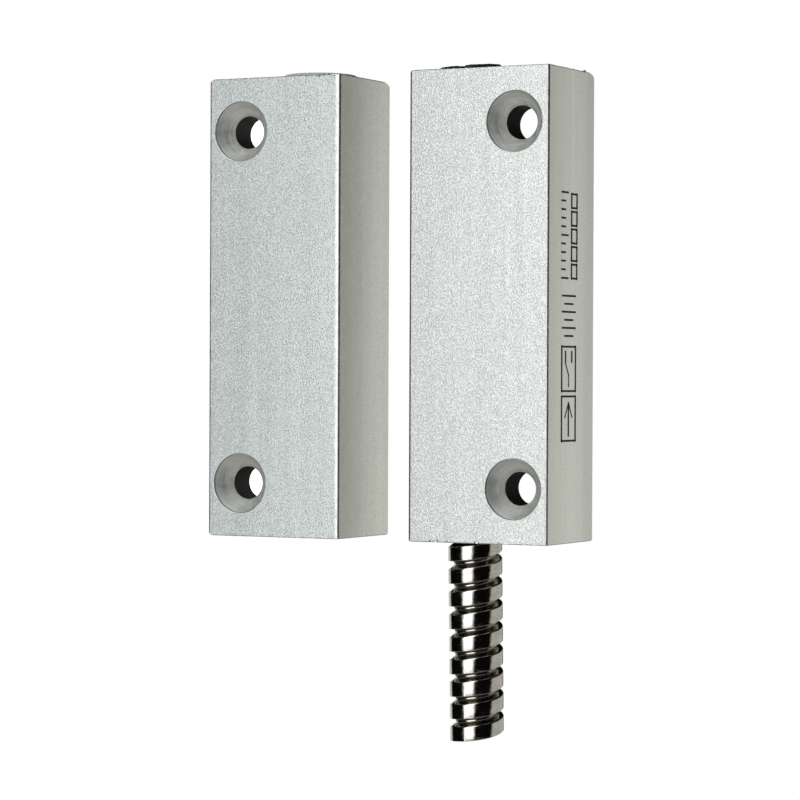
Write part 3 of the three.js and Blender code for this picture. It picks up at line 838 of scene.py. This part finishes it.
def edge_nicks(seed, count):
    """Nicks along the sawn ends' front and side edges and down the two front corners."""
    end_share = 0.55
    side_share = 0.30
    sunk = 0.05
    draw = random.Random(seed)
    cutters = []
    for i in range(count):
        end = draw.choice((1, 1, -1))
        size = draw.uniform(0.08, 0.20)
        lift = 0.3 * size
        where = draw.random()
        if where < end_share:
            place = (draw.uniform(1, HOUSING_WIDTH - 1), sunk, end * (TOP + lift))
        elif where < end_share + side_share:
            x = draw.choice((sunk, HOUSING_WIDTH - sunk))
            place = (x, draw.uniform(1, HOUSING_DEPTH - 5), end * (TOP + lift))
        else:
            inset = FRONT_EDGE_RADIUS * (1 - math.sqrt(0.5)) - lift
            x = draw.choice((inset, HOUSING_WIDTH - inset))
            place = (x, inset, draw.uniform(BOTTOM + 2, TOP - 2))
        cutters.append(lump(place, size, seed + i))
    return cutters


def saw_burrs(seed, count, largest):
    """Specks that the saw has pushed up along the top and bottom edges; largest is an (x, y) place."""
    front_share = 0.6
    inside = 0.12
    draw = random.Random(seed)
    burrs = [lump((*largest, TOP - 0.05), 0.30, seed)]
    for i in range(count):
        end = draw.choice((1, 1, -1))
        size = draw.uniform(0.05, 0.11)
        z = end * (TOP - 0.4 * size)
        if draw.random() < front_share:
            place = (draw.uniform(1, HOUSING_WIDTH - 1), inside, z)
        else:
            x = draw.choice((inside, HOUSING_WIDTH - inside))
            place = (x, draw.uniform(1, HOUSING_DEPTH - 4), z)
        burrs.append(lump(place, size, seed + i))
    return burrs


def chipped_edge(first, last, end, count, seed):
    """A run of small chips along an end's front edge, from x = first to x = last."""
    draw = random.Random(seed)
    chips = []
    for i in range(count):
        place = (draw.uniform(first, last), -0.02, end * (TOP - draw.uniform(-0.03, 0.25)))
        chips.append(lump(place, draw.uniform(0.18, 0.38), seed + i))
    return chips


BLASTED_FACE, SIDE_FACE, EDGE_FACE, TURNED_FACE, SHADED_HOLE_FACE, EXTRUDED_FACE, SAWN_FACE = range(7)

# How near a surface a face has to lie to belong to it, how far behind the front face still counts
# as level with it, and how far the front corners and the countersinks' rims reach.
NEAR = 0.01
LEVEL = 0.0001
CORNER_REACH = 1.6
RIM_REACH = 0.5
# The least part of a normal along an axis for a face that looks along it, and the most for one
# that looks across it.
ALONG = 0.75
ACROSS = 0.2


def face_finish(centre, normal):
    """Which of the housing's finishes a face has, from where it lies in the unit's frame."""
    if abs(normal.z) > ALONG and abs(centre.z) > TOP - TOP_EASING[1] - 0.1:
        return SAWN_FACE
    from_screw = min(math.hypot(centre.x - SCREW_X, centre.z - height) for height in SCREW_HEIGHTS)
    in_hole = from_screw < COUNTERSINK_RADIUS + 2 * NEAR and centre.y < SCREW_WEB + NEAR
    # The drilled wall gets the painted shade of the drilling.
    if in_hole and abs(normal.y) < ACROSS and from_screw < SCREW_HOLE_RADIUS + 0.1:
        return SHADED_HOLE_FACE
    if in_hole and centre.y > 0.5 * COUNTERSINK_LAND:
        return TURNED_FACE
    if from_screw < COUNTERSINK_RADIUS + RIM_REACH and centre.y > LEVEL:
        return EDGE_FACE
    channel_x = HOUSING_WIDTH - SCREW_SIDE_WALL
    in_channel = FOOT_WIDTH - 4 < centre.x < channel_x + NEAR and centre.y > SCREW_WEB - NEAR
    if in_channel and abs(normal.z) < 0.5 and centre.y < HOUSING_DEPTH - NEAR:
        return EXTRUDED_FACE
    if math.hypot(centre.x - BORE_X, centre.y - BORE_Y) < BORE_RADIUS + NEAR:
        return EXTRUDED_FACE
    from_side = min(centre.x, HOUSING_WIDTH - centre.x)
    if from_side < NEAR:
        return SIDE_FACE
    at_front_corner = from_side < CORNER_REACH and centre.y < FRONT_EDGE_RADIUS
    if at_front_corner and not is_flat(normal) and abs(normal.z) < 0.3:
        return EDGE_FACE
    return BLASTED_FACE


def housing(name, place, finishes, wear, seed):
    """One extrusion; wear says how its corners, rims and edges have fared."""
    cutters = [bore_cutter()]
    cutters += [screw_hole_cutter(height, wear["rim_ease"]) for height in SCREW_HEIGHTS]
    cutters += [back_edge_cutter(TOP_EASING, 1), back_edge_cutter(BOTTOM_EASING, -1)]
    cutters += [rounded_end_cutter(wear["screw_side"], wear["end_radius"], end) for end in (1, -1)]
    cutters += edge_nicks(seed, count=24)
    cutters += chipped_edge(*wear["chips"], count=9, seed=seed)
    burrs = saw_burrs(seed, 26, wear["burr"])
    mesh = carve(housing_blank(wear["corners"], seed), cutters, burrs)
    finish_of_face = [face_finish(face.center, face.normal) for face in mesh.polygons]
    materials = [*finishes, TURNED, SHADED_DRILLING, EXTRUDED, SAWN]
    piece = finish_piece(mesh, name + "_body", place, materials, "housing_aluminium", name)
    piece.data.polygons.foreach_set("material_index", finish_of_face)


SWITCH_WEAR = {
    "corners": (CRISP, EASED),
    "rim_ease": 0.09,
    "screw_side": False,
    "end_radius": 0.8,
    "chips": (4.0, 27.0, -1),
    "burr": (HOUSING_WIDTH - 0.15, 16.2),
}
MAGNET_WEAR = {
    "corners": (WORN, CRISP),
    "rim_ease": 0.20,
    "screw_side": True,
    "end_radius": 1.3,
    "chips": (0.8, 8.0, 1),
    "burr": (2.6, 0.1),
}


# ---- conduit and cable
def strip_section():
    """The interlocked strip's section as (radius, height) pairs, for one turn of the band."""
    outer = CONDUIT_RADIUS
    groove = CONDUIT_GROOVE_RADIUS
    band = CONDUIT_BAND
    thick = CONDUIT_STRIP
    lip = groove + 0.25
    under = CONDUIT_PITCH + 0.9
    low = 0.10
    shoulder = 0.38
    root = 0.5
    root_height = CONDUIT_PITCH - root
    return [
        (lip, 0.0),
        *arc(outer - low, low, low, -90, 0, 3),
        (outer, 0.5 * band),
        *arc(outer - shoulder, band - shoulder, shoulder, 0, 80, 8),
        *arc(groove + root, root_height, root, -100, -235, 12),
        (groove + 0.1, CONDUIT_PITCH + 0.02),
        (groove - 0.05, CONDUIT_PITCH + 0.2),
        (groove - 0.05, under),
        (groove - thick, under),
        (groove - thick, band - thick),
        *arc(outer - shoulder, band - shoulder, shoulder - thick, 80, 0, 3),
        (outer - thick, thick),
        (lip, thick),
    ]


def under_the_lip(corner):
    """True for a point of the section in the groove's corner, under the next turn's lip."""
    radius, height = corner
    return CONDUIT_PITCH - 0.55 < height < CONDUIT_PITCH + 0.3 and radius < CONDUIT_RADIUS - 0.5


def conduit():
    """One strip wound right-handed, each turn hooked over the one below it."""
    section = strip_section()
    per_turn = 120
    swelling = 0.030
    slipping = 0.06
    turns = (CONDUIT_OUTSIDE + CONDUIT_INSIDE - CONDUIT_PITCH) / CONDUIT_PITCH - 1
    rings = []
    for i in range(int(turns * per_turn) + 1):
        angle = CONDUIT_START_ANGLE + 2 * math.pi * i / per_turn
        rise = CONDUIT_PITCH * i / per_turn - CONDUIT_OUTSIDE
        wander = Vector((math.cos(angle), math.sin(angle), 0.11 * rise))
        swell = swelling * noise.noise(wander * 1.3)
        slip = slipping * noise.noise(wander * 0.9 + Vector((7, 0, 0)))
        ring = []
        for radius, height in section:
            r = radius + swell
            ring.append((r * math.cos(angle), r * math.sin(angle), rise + slip + height))
        rings.append(ring)
    # Faces under the lip get the painted shade of the groove's corner.
    around = [int(under_the_lip(corner)) for corner in section]
    caps = [0, 0]
    mesh = outward(loft_mesh("conduit", rings))
    piece = finish_piece(
        mesh, "conduit_strip", OUTLET, [STAINLESS, GROOVE_SHADE], "conduit_stainless", "armoured_conduit"
    )
    piece.data.polygons.foreach_set("material_index", around * (len(rings) - 1) + caps)


def path_frames(points):
    """Each point of a path with two directions square to it, carried along without twisting."""
    frames = []
    side = Vector((1, 0, 0))
    for i, point in enumerate(points):
        ahead = (points[min(i + 1, len(points) - 1)] - points[max(i - 1, 0)]).normalized()
        side = (side - ahead * side.dot(ahead)).normalized()
        frames.append((point, side.copy(), ahead.cross(side)))
    return frames


def swept_mesh(name, points, radius, sides, inner=None):
    """A round solid along points, or a tube if inner is given, with square ends."""

    def ring_at(place, size):
        point, right, up = place
        return [
            point + (right * math.cos(t) + up * math.sin(t)) * size for t in full_turn(sides)
        ]

    frames = path_frames(points)
    rings = [ring_at(place, radius) for place in frames]
    if inner:
        rings += [ring_at(place, inner) for place in reversed(frames)]
    return loft_mesh(name, rings, looped=bool(inner))


def jacket():
    """The cable's jacket, cut off square with a slightly rounded, uneven edge."""
    start = -CONDUIT_OUTSIDE + JACKET_RECESS
    ease = 0.12
    outside = [
        (JACKET_INNER_RADIUS + ease, start),
        (JACKET_RADIUS - ease, start),
        (JACKET_RADIUS, start + ease),
        (JACKET_RADIUS, JACKET_INSIDE - ease),
        (JACKET_RADIUS - ease, JACKET_INSIDE),
        (JACKET_INNER_RADIUS + ease, JACKET_INSIDE),
        (JACKET_INNER_RADIUS, JACKET_INSIDE - ease),
        (JACKET_INNER_RADIUS, start + ease),
    ]
    sides = 64
    rings = []
    for radius, z in outside:
        ring = circle_ring(radius, z, sides)
        if z < start + 1:
            ring = [
                (x, y, height + 0.08 * rough(x * 0.5, y * 0.5, 3.0))
                for x, y, height in ring
            ]
        rings.append(ring)
    mesh = outward(loft_mesh("jacket", rings, looped=True))
    finish_piece(mesh, "jacket_tube", OUTLET, [JACKET_VINYL], "jacket_vinyl", "cable_jacket")


def beside_conduit_axis(along, x, y):
    """A point of the bore's frame on the conduit's axis, shifted sideways."""
    lean_x = math.tan(CONDUIT_LEAN_X) / math.cos(CONDUIT_LEAN_Y)
    lean_y = math.tan(CONDUIT_LEAN_Y)
    x += CONDUIT_OFFSET_X + lean_x * along
    y += CONDUIT_OFFSET_Y - lean_y * along
    return Vector((x, y, BOTTOM + along))


def straight_run(angle):
    """A conductor's way through the jacket."""
    x = CONDUCTOR_CIRCLE * math.cos(angle)
    y = CONDUCTOR_CIRCLE * math.sin(angle)
    start = -CONDUIT_OUTSIDE + CONDUCTOR_RECESS
    length = JACKET_INSIDE + CONDUCTOR_STRAIGHT - start
    return [beside_conduit_axis(start + part * length, x, y) for part in (0, 0.35, 0.7, 0.95, 1)]


def contact_run(side):
    """Up the carrier's groove on one side and over its top to the solder joint of a contact."""
    run = [Vector((side * LOOM_X * 0.62, 0.5, -25))]
    run += [Vector((side * LOOM_X, 0, z)) for z in (-20.8, -8, 4, 16)]
    centre = (LOOM_X + LOOP_END_X) / 2
    loop = arc(centre, CARRIER_TOP, (LOOM_X - LOOP_END_X) / 2, 0, 180, 4)
    run += [Vector((side * x, 0, z)) for x, z in loop]
    return [*run, Vector((side * LOOP_END_X, 0, CONTACT_JOINT))]


def common_run():
    """From the jacket straight to the solder joint under the capsule."""
    places = [(0.2, -0.6, -25.5), (0, 0, COMMON_JOINT - 1.5), (0, 0, COMMON_JOINT)]
    return [Vector(place) for place in places]


def smooth_route(points, step):
    """A centripetal Catmull-Rom curve through the points, sampled about every step."""
    ends = [2 * points[0] - points[1], *points, 2 * points[-1] - points[-2]]
    route = []
    for p0, p1, p2, p3 in zip(ends, ends[1:], ends[2:], ends[3:]):
        t1 = math.sqrt((p1 - p0).length)
        t2 = t1 + math.sqrt((p2 - p1).length)
        t3 = t2 + math.sqrt((p3 - p2).length)
        count = max(1, round((p2 - p1).length / step))
        for i in range(count):
            t = t1 + (t2 - t1) * i / count
            a1 = p0.lerp(p1, t / t1)
            a2 = p1.lerp(p2, (t - t1) / (t2 - t1))
            a3 = p2.lerp(p3, (t - t2) / (t3 - t2))
            b1 = a1.lerp(a2, t / t2)
            b2 = a2.lerp(a3, (t - t1) / (t3 - t1))
            route.append(b1.lerp(b2, (t - t1) / (t2 - t1)))
    return [*route, points[-1]]


def stranded_core(route):
    """Fine wires laid round a middle one, twisted along the route."""
    lay = 9.0
    circle = 2 * STRAND_RADIUS + 0.005
    wires = []
    for strand in range(STRANDS):
        around = 0.0 if strand == 0 else circle
        first = 2 * math.pi * strand / (STRANDS - 1)
        points = []
        walked = 0.0
        for i, (point, side, up) in enumerate(path_frames(route)):
            walked += (point - route[max(i - 1, 0)]).length
            turn = first + 2 * math.pi * walked / lay
            points.append(point + (side * math.cos(turn) + up * math.sin(turn)) * around)
        wires.append(outward(swept_mesh("strand", points, STRAND_RADIUS, 8)))
    return joined_mesh("stranded_core", wires)


def conductors():
    """Three insulated conductors with stranded cores, from the cut end to the reed's joints."""
    third = 2 * math.pi / 3
    runs = {
        "open": (straight_run(0) + contact_run(1), RED_WIRE, "red_insulation"),
        "closed": (straight_run(third) + contact_run(-1), GREEN_WIRE, "green_insulation"),
        "common": (straight_run(2 * third) + common_run(), WHITE_WIRE, "white_insulation"),
    }
    for name, (points, colour, slot) in runs.items():
        route = smooth_route(points, 0.6)
        tube = swept_mesh("insulation", route, CONDUCTOR_RADIUS, 24, CONDUCTOR_INNER_RADIUS)
        mesh = outward(tube)
        finish_piece(mesh, f"insulation_{name}", SWITCH_BORE, [colour], slot, f"conductor_{name}")
        mesh = stranded_core(route)
        finish_piece(mesh, f"strands_{name}", SWITCH_BORE, [COPPER], "copper", f"core_{name}")


# ---- potting
def potting_plug():
    """Resin poured in from the top: a ragged crown stands proud, tilted, inside a low skirt."""
    sides = 144
    depth = 11.5
    crown = 5.75
    proud = 1.10
    slope_x = 0.04
    slope_y = 0.06
    round_over = 0.22
    notch_angle = math.radians(-84)
    notch_width = math.radians(7)
    fitted = BORE_RADIUS - 0.06

    def notch(angle):
        away = math.remainder(angle - notch_angle, 2 * math.pi) / notch_width
        return math.exp(-away * away)

    def rim_radius(angle):
        ripple = rough(2.2 * math.cos(angle), 2.2 * math.sin(angle), 5.0)
        fine = rough(7.0 * math.cos(angle), 7.0 * math.sin(angle), 2.0)
        return crown + 0.14 * ripple + 0.10 * fine - 0.9 * notch(angle)

    def height(x, y, angle, inward):
        lumps = 0.05 * rough(0.5 * x, 0.5 * y, 1.0)
        lumps += 0.06 * rough(2.2 * x, 2.2 * y, 4.0)
        return proud + slope_x * x + slope_y * y + lumps - 0.5 * notch(angle) * (1 - inward)

    quarter = [math.radians(t) for t in (0, 22, 45, 68, 90)]
    places = [(round_over * (1 - math.cos(t)), round_over * (1 - math.sin(t))) for t in quarter]
    places += [(0.6 + 0.62 * i, 0.0) for i in range(8)]
    rings = [
        circle_ring(fitted, TOP - depth, sides),
        circle_ring(fitted, TOP - 0.25, sides),
        circle_ring(fitted - 0.2, TOP - 0.08, sides),
        circle_ring(crown + 0.35, TOP - 0.02, sides),
    ]
    for inset, drop in places:
        ring = []
        for angle in full_turn(sides):
            r = rim_radius(angle) * (1 - inset / crown)
            x = r * math.cos(angle)
            y = r * math.sin(angle)
            ring.append((x, y, TOP + height(x, y, angle, inset / crown) - drop))
        rings.append(ring)
    mesh = outward(loft_mesh("potting_plug", rings))
    finish_piece(mesh, "potting_plug", SWITCH_BORE, [POTTING], "black_potting", "switch_top_potting")


def potting_collar():
    """Resin round the conduit at the bottom of the bore, with a sagging skin between the two."""
    sides = 96
    length = 13.8
    bore = BORE_RADIUS - 0.06
    seat = CONDUIT_RADIUS + 0.10
    shoulder = CONDUIT_INSIDE + 0.3
    around = JACKET_RADIUS + 0.1

    def inner_ring(radius, along):
        centre = beside_conduit_axis(along, 0, 0)
        return circle_ring(radius, BOTTOM + along, sides, centre)

    skin = []
    steps = 8
    outer = circle_ring(bore, 0, sides)
    inner = inner_ring(seat, 0)
    for i in range(steps + 1):
        share = i / steps
        ring = []
        for (near_x, near_y, _), (far_x, far_y, _) in zip(inner, outer):
            x = near_x + (far_x - near_x) * share
            y = near_y + (far_y - near_y) * share
            sag = 0.35 * math.sin(math.pi * share) ** 0.7
            lumps = 0.06 * rough(0.9 * x, 0.9 * y, 8.0)
            ring.append((x, y, BOTTOM + 0.2 + sag + lumps))
        skin.append(ring)
    rings = [
        *skin,
        circle_ring(bore, BOTTOM + length, sides),
        inner_ring(around, length),
        inner_ring(around, shoulder),
        inner_ring(seat, shoulder),
    ]
    mesh = outward(loft_mesh("potting_collar", rings, looped=True))
    finish_piece(
        mesh, "potting_collar", SWITCH_BORE, [POTTING], "black_potting", "switch_cable_potting"
    )


# ---- magnet unit's cap and plug
def magnet_cap():
    """A push-in cap: thin rounded flange, slightly domed top, sunk gate mark, ribbed plug."""
    flange = 7.05
    seat = TOP + 0.03
    crown = 0.60
    plug = BORE_RADIUS - 0.2
    rib = BORE_RADIUS - 0.06
    profile = [(plug - 0.4, TOP - 10.0), (plug, TOP - 9.6)]
    for i in range(5):
        z = TOP - 8.4 + 1.6 * i
        profile += [(plug, z - 0.25), (rib, z), (rib, z + 0.3), (plug, z + 0.5)]
    profile += [(plug, seat), (flange - 0.1, seat), (flange, seat + 0.12)]
    round_over = 0.32
    for x, z in arc(flange - round_over, seat + crown - round_over, round_over, 0, 90, 5):
        profile.append((x, z))
    profile += [
        (5.2, seat + crown + 0.035),
        (3.2, seat + crown + 0.06),
        (1.5, seat + crown + 0.07),
        (1.35, seat + crown + 0.02),
        (1.2, seat + crown - 0.12),
        (0.5, seat + crown - 0.14),
        (0.38, seat + crown - 0.02),
        (0.05, seat + crown - 0.02),
    ]
    mesh = outward(turned_mesh("magnet_cap", profile, 96))
    finish_piece(mesh, "magnet_cap_moulding", MAGNET_BORE, [PALE_PLASTIC], "pale_plastic", "magnet_cap")


def magnet_base_plug():
    """The plug that closes the bottom of the bore: dished face, eased rim and two spanner dimples."""
    radius = BORE_RADIUS - 0.08
    face = BOTTOM + 0.2
    profile = [
        (0.05, face + 0.45),
        (3.0, face + 0.42),
        (4.4, face + 0.25),
        (4.9, face + 0.02),
        (5.2, face),
        (radius - 0.25, face),
        (radius, face + 0.25),
        (radius, BOTTOM + 9.7),
        (radius - 0.3, BOTTOM + 10.0),
    ]
    mesh = turned_mesh("magnet_base_plug", profile, 96)
    dimples = []
    for side in (-1, 1):
        bm = bmesh.new()
        bmesh.ops.create_icosphere(bm, subdivisions=3, radius=0.8)
        bmesh.ops.translate(bm, vec=(side * 2.6, 0, face + 0.15), verts=bm.verts)
        dimples.append(mesh_from(bm, "dimple"))
    mesh = carve(mesh, dimples)
    finish_piece(
        mesh, "magnet_plug_moulding", MAGNET_BORE, [PALE_PLASTIC], "pale_plastic", "magnet_base_plug"
    )


# ---- printed marks
INK_HEIGHT = 0.02
INK_SINK = 0.05


def ink_bar(a, b, width):
    """A printed bar on the screw side, from a to b, which are (y, z) places, with rounded ends."""
    start = Vector(a)
    along = Vector(b) - start
    length = along.length
    along.normalize()
    across = Vector((-along.y, along.x))
    half = width / 2
    outline = []
    for cx, first in ((length, -90), (0.0, 90)):
        for u, v in arc(cx, 0, half, first, first + 180, 5):
            ragged = 1 + 0.12 * rough(4 * (start.x + u), 4 * (start.y + v), 36.0)
            outline.append(start + along * u + across * v * ragged)
    rings = []
    for x in (HOUSING_WIDTH - INK_SINK, HOUSING_WIDTH + INK_HEIGHT):
        rings.append([(x, point.x, point.y) for point in outline])
    return loft_mesh("ink_bar", rings)


def ink_lines(points, width):
    return [ink_bar(a, b, width) for a, b in zip(points, points[1:])]


def ink_frame(low, high, reach, row, upright, level):
    """A plain rectangle of printed lines."""
    left = row - reach
    right = row + reach
    lines = []
    for y in (left, right):
        lines += ink_lines([(y, low), (y, high)], upright)
    for z in (low, high):
        lines += ink_lines([(left, z), (right, z)], level)
    return lines


def printed_marks():
    """Plain signs up the screw side: aligning arrow, changeover contact, bars, tick scale and boxes."""
    row = 9.2
    upright = 0.60
    level = 0.38
    bars = []
    bars += ink_frame(-25.2, -16.9, 3.1, row, upright, level)
    bars += ink_lines([(row, -24.2), (row, -18.2)], upright)
    bars += ink_lines([(row - 1.6, -20.8), (row, -18.1), (row + 1.6, -20.8)], level)
    bars += ink_frame(-15.9, -7.6, 3.1, row, upright, level)
    bars += ink_lines([(row, -15.0), (row, -12.9), (row - 1.5, -10.6)], level)
    for side in (-1.4, 1.4):
        bars += ink_lines([(row + side, -10.4), (row + side, -8.6)], upright)
    for i in range(6):
        z = -5.6 + 1.5 * i
        reach = 3.0 if i % 2 else 1.9
        bars += ink_lines([(row - reach, z), (row + reach, z)], level)
    for i in range(11):
        z = 5.2 + 1.6 * i
        reach = 3.0 if i % 5 == 0 else 1.8
        bars += ink_lines([(row - 3.4, z), (row - 3.4 + reach, z)], level)
    for i in range(5):
        low = 5.2 + 3.3 * i
        bars += ink_frame(low, low + 2.6, 1.2, row + 2.3, upright, level)
    mesh = joined_mesh("printed_marks", [outward(bar) for bar in bars])
    finish_piece(mesh, "printed_marks", SWITCH_UNIT, [INK], "housing_aluminium")


# ---- CAD nodes that stay
def keep_cad_nodes():
    """The pieces sealed inside keep their CAD shape and get finer materials."""
    finishes = {
        "reed_carrier": CARRIER_PLASTIC,
        "reed_glass": GLASS,
        "reed_common_lead": REED_ALLOY,
        "reed_common_blade": REED_ALLOY,
        "reed_open_contact": REED_ALLOY,
        "reed_closed_contact": REED_ALLOY,
        "solder_joint_common": SOLDER,
        "solder_joint_open": SOLDER,
        "solder_joint_closed": SOLDER,
        "magnet_sleeve": CARRIER_PLASTIC,
        "magnet_rod_upper": MAGNET_ALLOY,
        "magnet_rod_lower": MAGNET_ALLOY,
        "magnet_spacer": SPACER_STEEL,
    }
    for name, material in finishes.items():
        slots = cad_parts[name].material_slots
        for one in slots:
            one.material = material


# ---- stage, light and camera
def stage_floor():
    """A plain pale round floor well below the unit, brightening to white at its rim."""
    radius = 0.6
    below = 0.22
    bm = bmesh.new()
    bmesh.ops.create_circle(bm, cap_ends=True, segments=96, radius=radius)
    floor = add_object(mesh_from(bm, "stage_floor"))
    floor.location = ((cad_lo.x + cad_hi.x) / 2, (cad_lo.y + cad_hi.y) / 2, cad_lo.z - below)
    s = Shader("pale_floor")
    length = s.nodes.new("ShaderNodeVectorMath")
    length.operation = "LENGTH"
    s.links.new(s.place, length.inputs[0])
    glow = s.spread(length.outputs["Value"], 0.0, radius, 0.62, 1.0)
    s.set(Base_Color=rgb(0.55, 0.55, 0.55), Roughness=0.9, Specular_IOR_Level=0.0)
    s.set(Emission_Color=rgb(1.0, 1.0, 0.99), Emission_Strength=glow)
    floor.data.materials.append(s.material)
    floor.visible_glossy = False
    floor.visible_diffuse = False


# Soft boxes of the studio, by direction as seen from the object. Azimuth is counter-clockwise from
# +X seen from above, so -90 is straight in front; both angles are in degrees.
KEY_BOX = {"azimuth": (-121, -78), "height": (-30, 62), "edge": 8.0, "light": (2.66, 2.71, 2.72)}
RIGHT_WALL = {"azimuth": (4.5, 88), "height": (-26, 11), "edge": 6.0, "light": (0.68, 0.68, 0.64)}
LEFT_WALL = {"azimuth": (100, 162), "height": (-26, 11), "edge": 3.0, "light": (0.86, 0.86, 0.82)}
TABLE = {"azimuth": (-181, 181), "height": (-91, -34), "edge": 5.0, "light": (0.38, 0.38, 0.367)}
BOXES = (KEY_BOX, RIGHT_WALL, LEFT_WALL, TABLE)
DARK_ROOM = (0.004, 0.004, 0.004, 1.0)
BACKDROP = (1.0, 1.0, 1.0, 1.0)


def studio_light():
    """Lights the object with the soft boxes, and shows the camera a plain backdrop instead."""
    world = bpy.data.worlds.new("studio")
    bpy.context.scene.world = world
    bpy.context.scene.view_settings.view_transform = "Standard"
    world.use_nodes = True
    tree = Nodes(world.node_tree)
    nodes = tree.nodes
    links = tree.links
    nodes.clear()

    degrees = 180 / math.pi
    x, y, z = tree.axes(nodes.new("ShaderNodeTexCoord").outputs["Generated"])
    azimuth = tree.math("MULTIPLY", tree.math("ARCTAN2", y, x), degrees)
    height = tree.math("MULTIPLY", tree.math("ARCSINE", z), degrees)

    total = nodes.new("ShaderNodeRGB").outputs["Color"]
    total.default_value = DARK_ROOM
    for box in BOXES:
        edge = box["edge"]
        inside = 1.0
        for value, (low, high) in ((azimuth, box["azimuth"]), (height, box["height"])):
            rise = tree.spread(value, low - edge, low + edge)
            fall = tree.spread(value, high - edge, high + edge, 1.0, 0.0)
            inside = tree.math("MULTIPLY", inside, tree.math("MULTIPLY", rise, fall))
        adding = nodes.new("ShaderNodeMix")
        adding.data_type = "RGBA"
        adding.blend_type = "ADD"
        adding.clamp_result = False
        links.new(inside, adding.inputs["Factor"])
        links.new(total, adding.inputs[6])
        adding.inputs[7].default_value = (*box["light"], 1.0)
        total = adding.outputs[2]

    lit = nodes.new("ShaderNodeBackground")
    links.new(total, lit.inputs["Color"])
    plain = nodes.new("ShaderNodeBackground")
    plain.inputs["Color"].default_value = BACKDROP
    mixed = nodes.new("ShaderNodeMixShader")
    links.new(nodes.new("ShaderNodeLightPath").outputs["Is Camera Ray"], mixed.inputs["Fac"])
    links.new(lit.outputs["Background"], mixed.inputs[1])
    links.new(plain.outputs["Background"], mixed.inputs[2])
    links.new(mixed.outputs["Shader"], nodes.new("ShaderNodeOutputWorld").inputs["Surface"])


def channel_card():
    """A slim lit card close behind the magnet unit, which brightens the channel behind its screws."""
    radiance = 1.6
    width = 0.010
    height = 0.088
    facing = math.radians(-32)
    from_side = 0.0125
    behind = 0.012
    lo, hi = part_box("magnet_housing")
    data = bpy.data.lights.new("channel_card", "AREA")
    data.shape = "RECTANGLE"
    data.size = width
    data.size_y = height
    data.energy = radiance * math.pi * width * height
    card = bpy.data.objects.new("channel_card", data)
    bpy.context.scene.collection.objects.link(card)
    place = Matrix.Translation((lo.x + from_side, hi.y + behind, (lo.z + hi.z) / 2))
    turn = Matrix.Rotation(facing, 4, "Z") @ Matrix.Rotation(math.radians(-90), 4, "X")
    card.matrix_world = place @ turn
    card.visible_camera = False


# Where the camera stands, in metres, and how far it is turned, tipped and rolled, in degrees.
EYE = (0.2599, -0.5366, -0.0132)
EYE_TURN = 27.44
EYE_TIP = -0.448
EYE_ROLL = 0.24
LENS = 138.4


def camera():
    """A long lens, well to the right of the pair and just below mid-height."""
    data = bpy.data.cameras.new("camera")
    data.lens = LENS
    data.sensor_width = 36.0
    data.clip_start = 0.05
    data.clip_end = 20.0
    eye = bpy.data.objects.new("camera", data)
    bpy.context.scene.collection.objects.link(eye)
    turn = Matrix.Rotation(math.radians(EYE_TURN), 4, "Z")
    tip = Matrix.Rotation(math.radians(90 + EYE_TIP), 4, "X")
    roll = Matrix.Rotation(math.radians(EYE_ROLL), 4, "Z")
    eye.matrix_world = Matrix.Translation(EYE) @ turn @ tip @ roll
    bpy.context.scene.camera = eye


# ---- the object
camera()
studio_light()
channel_card()
stage_floor()
switch_finishes = [SWITCH_ALUMINIUM, SWITCH_SIDES, SOFT_EDGE]
magnet_finishes = [MAGNET_ALUMINIUM, MAGNET_SIDES, WORN_EDGE]
housing("switch_housing", SWITCH_UNIT, switch_finishes, SWITCH_WEAR, seed=11)
housing("magnet_housing", MAGNET_UNIT, magnet_finishes, MAGNET_WEAR, seed=47)
conduit()
jacket()
conductors()
potting_plug()
potting_collar()
magnet_cap()
magnet_base_plug()
printed_marks()
keep_cad_nodes()
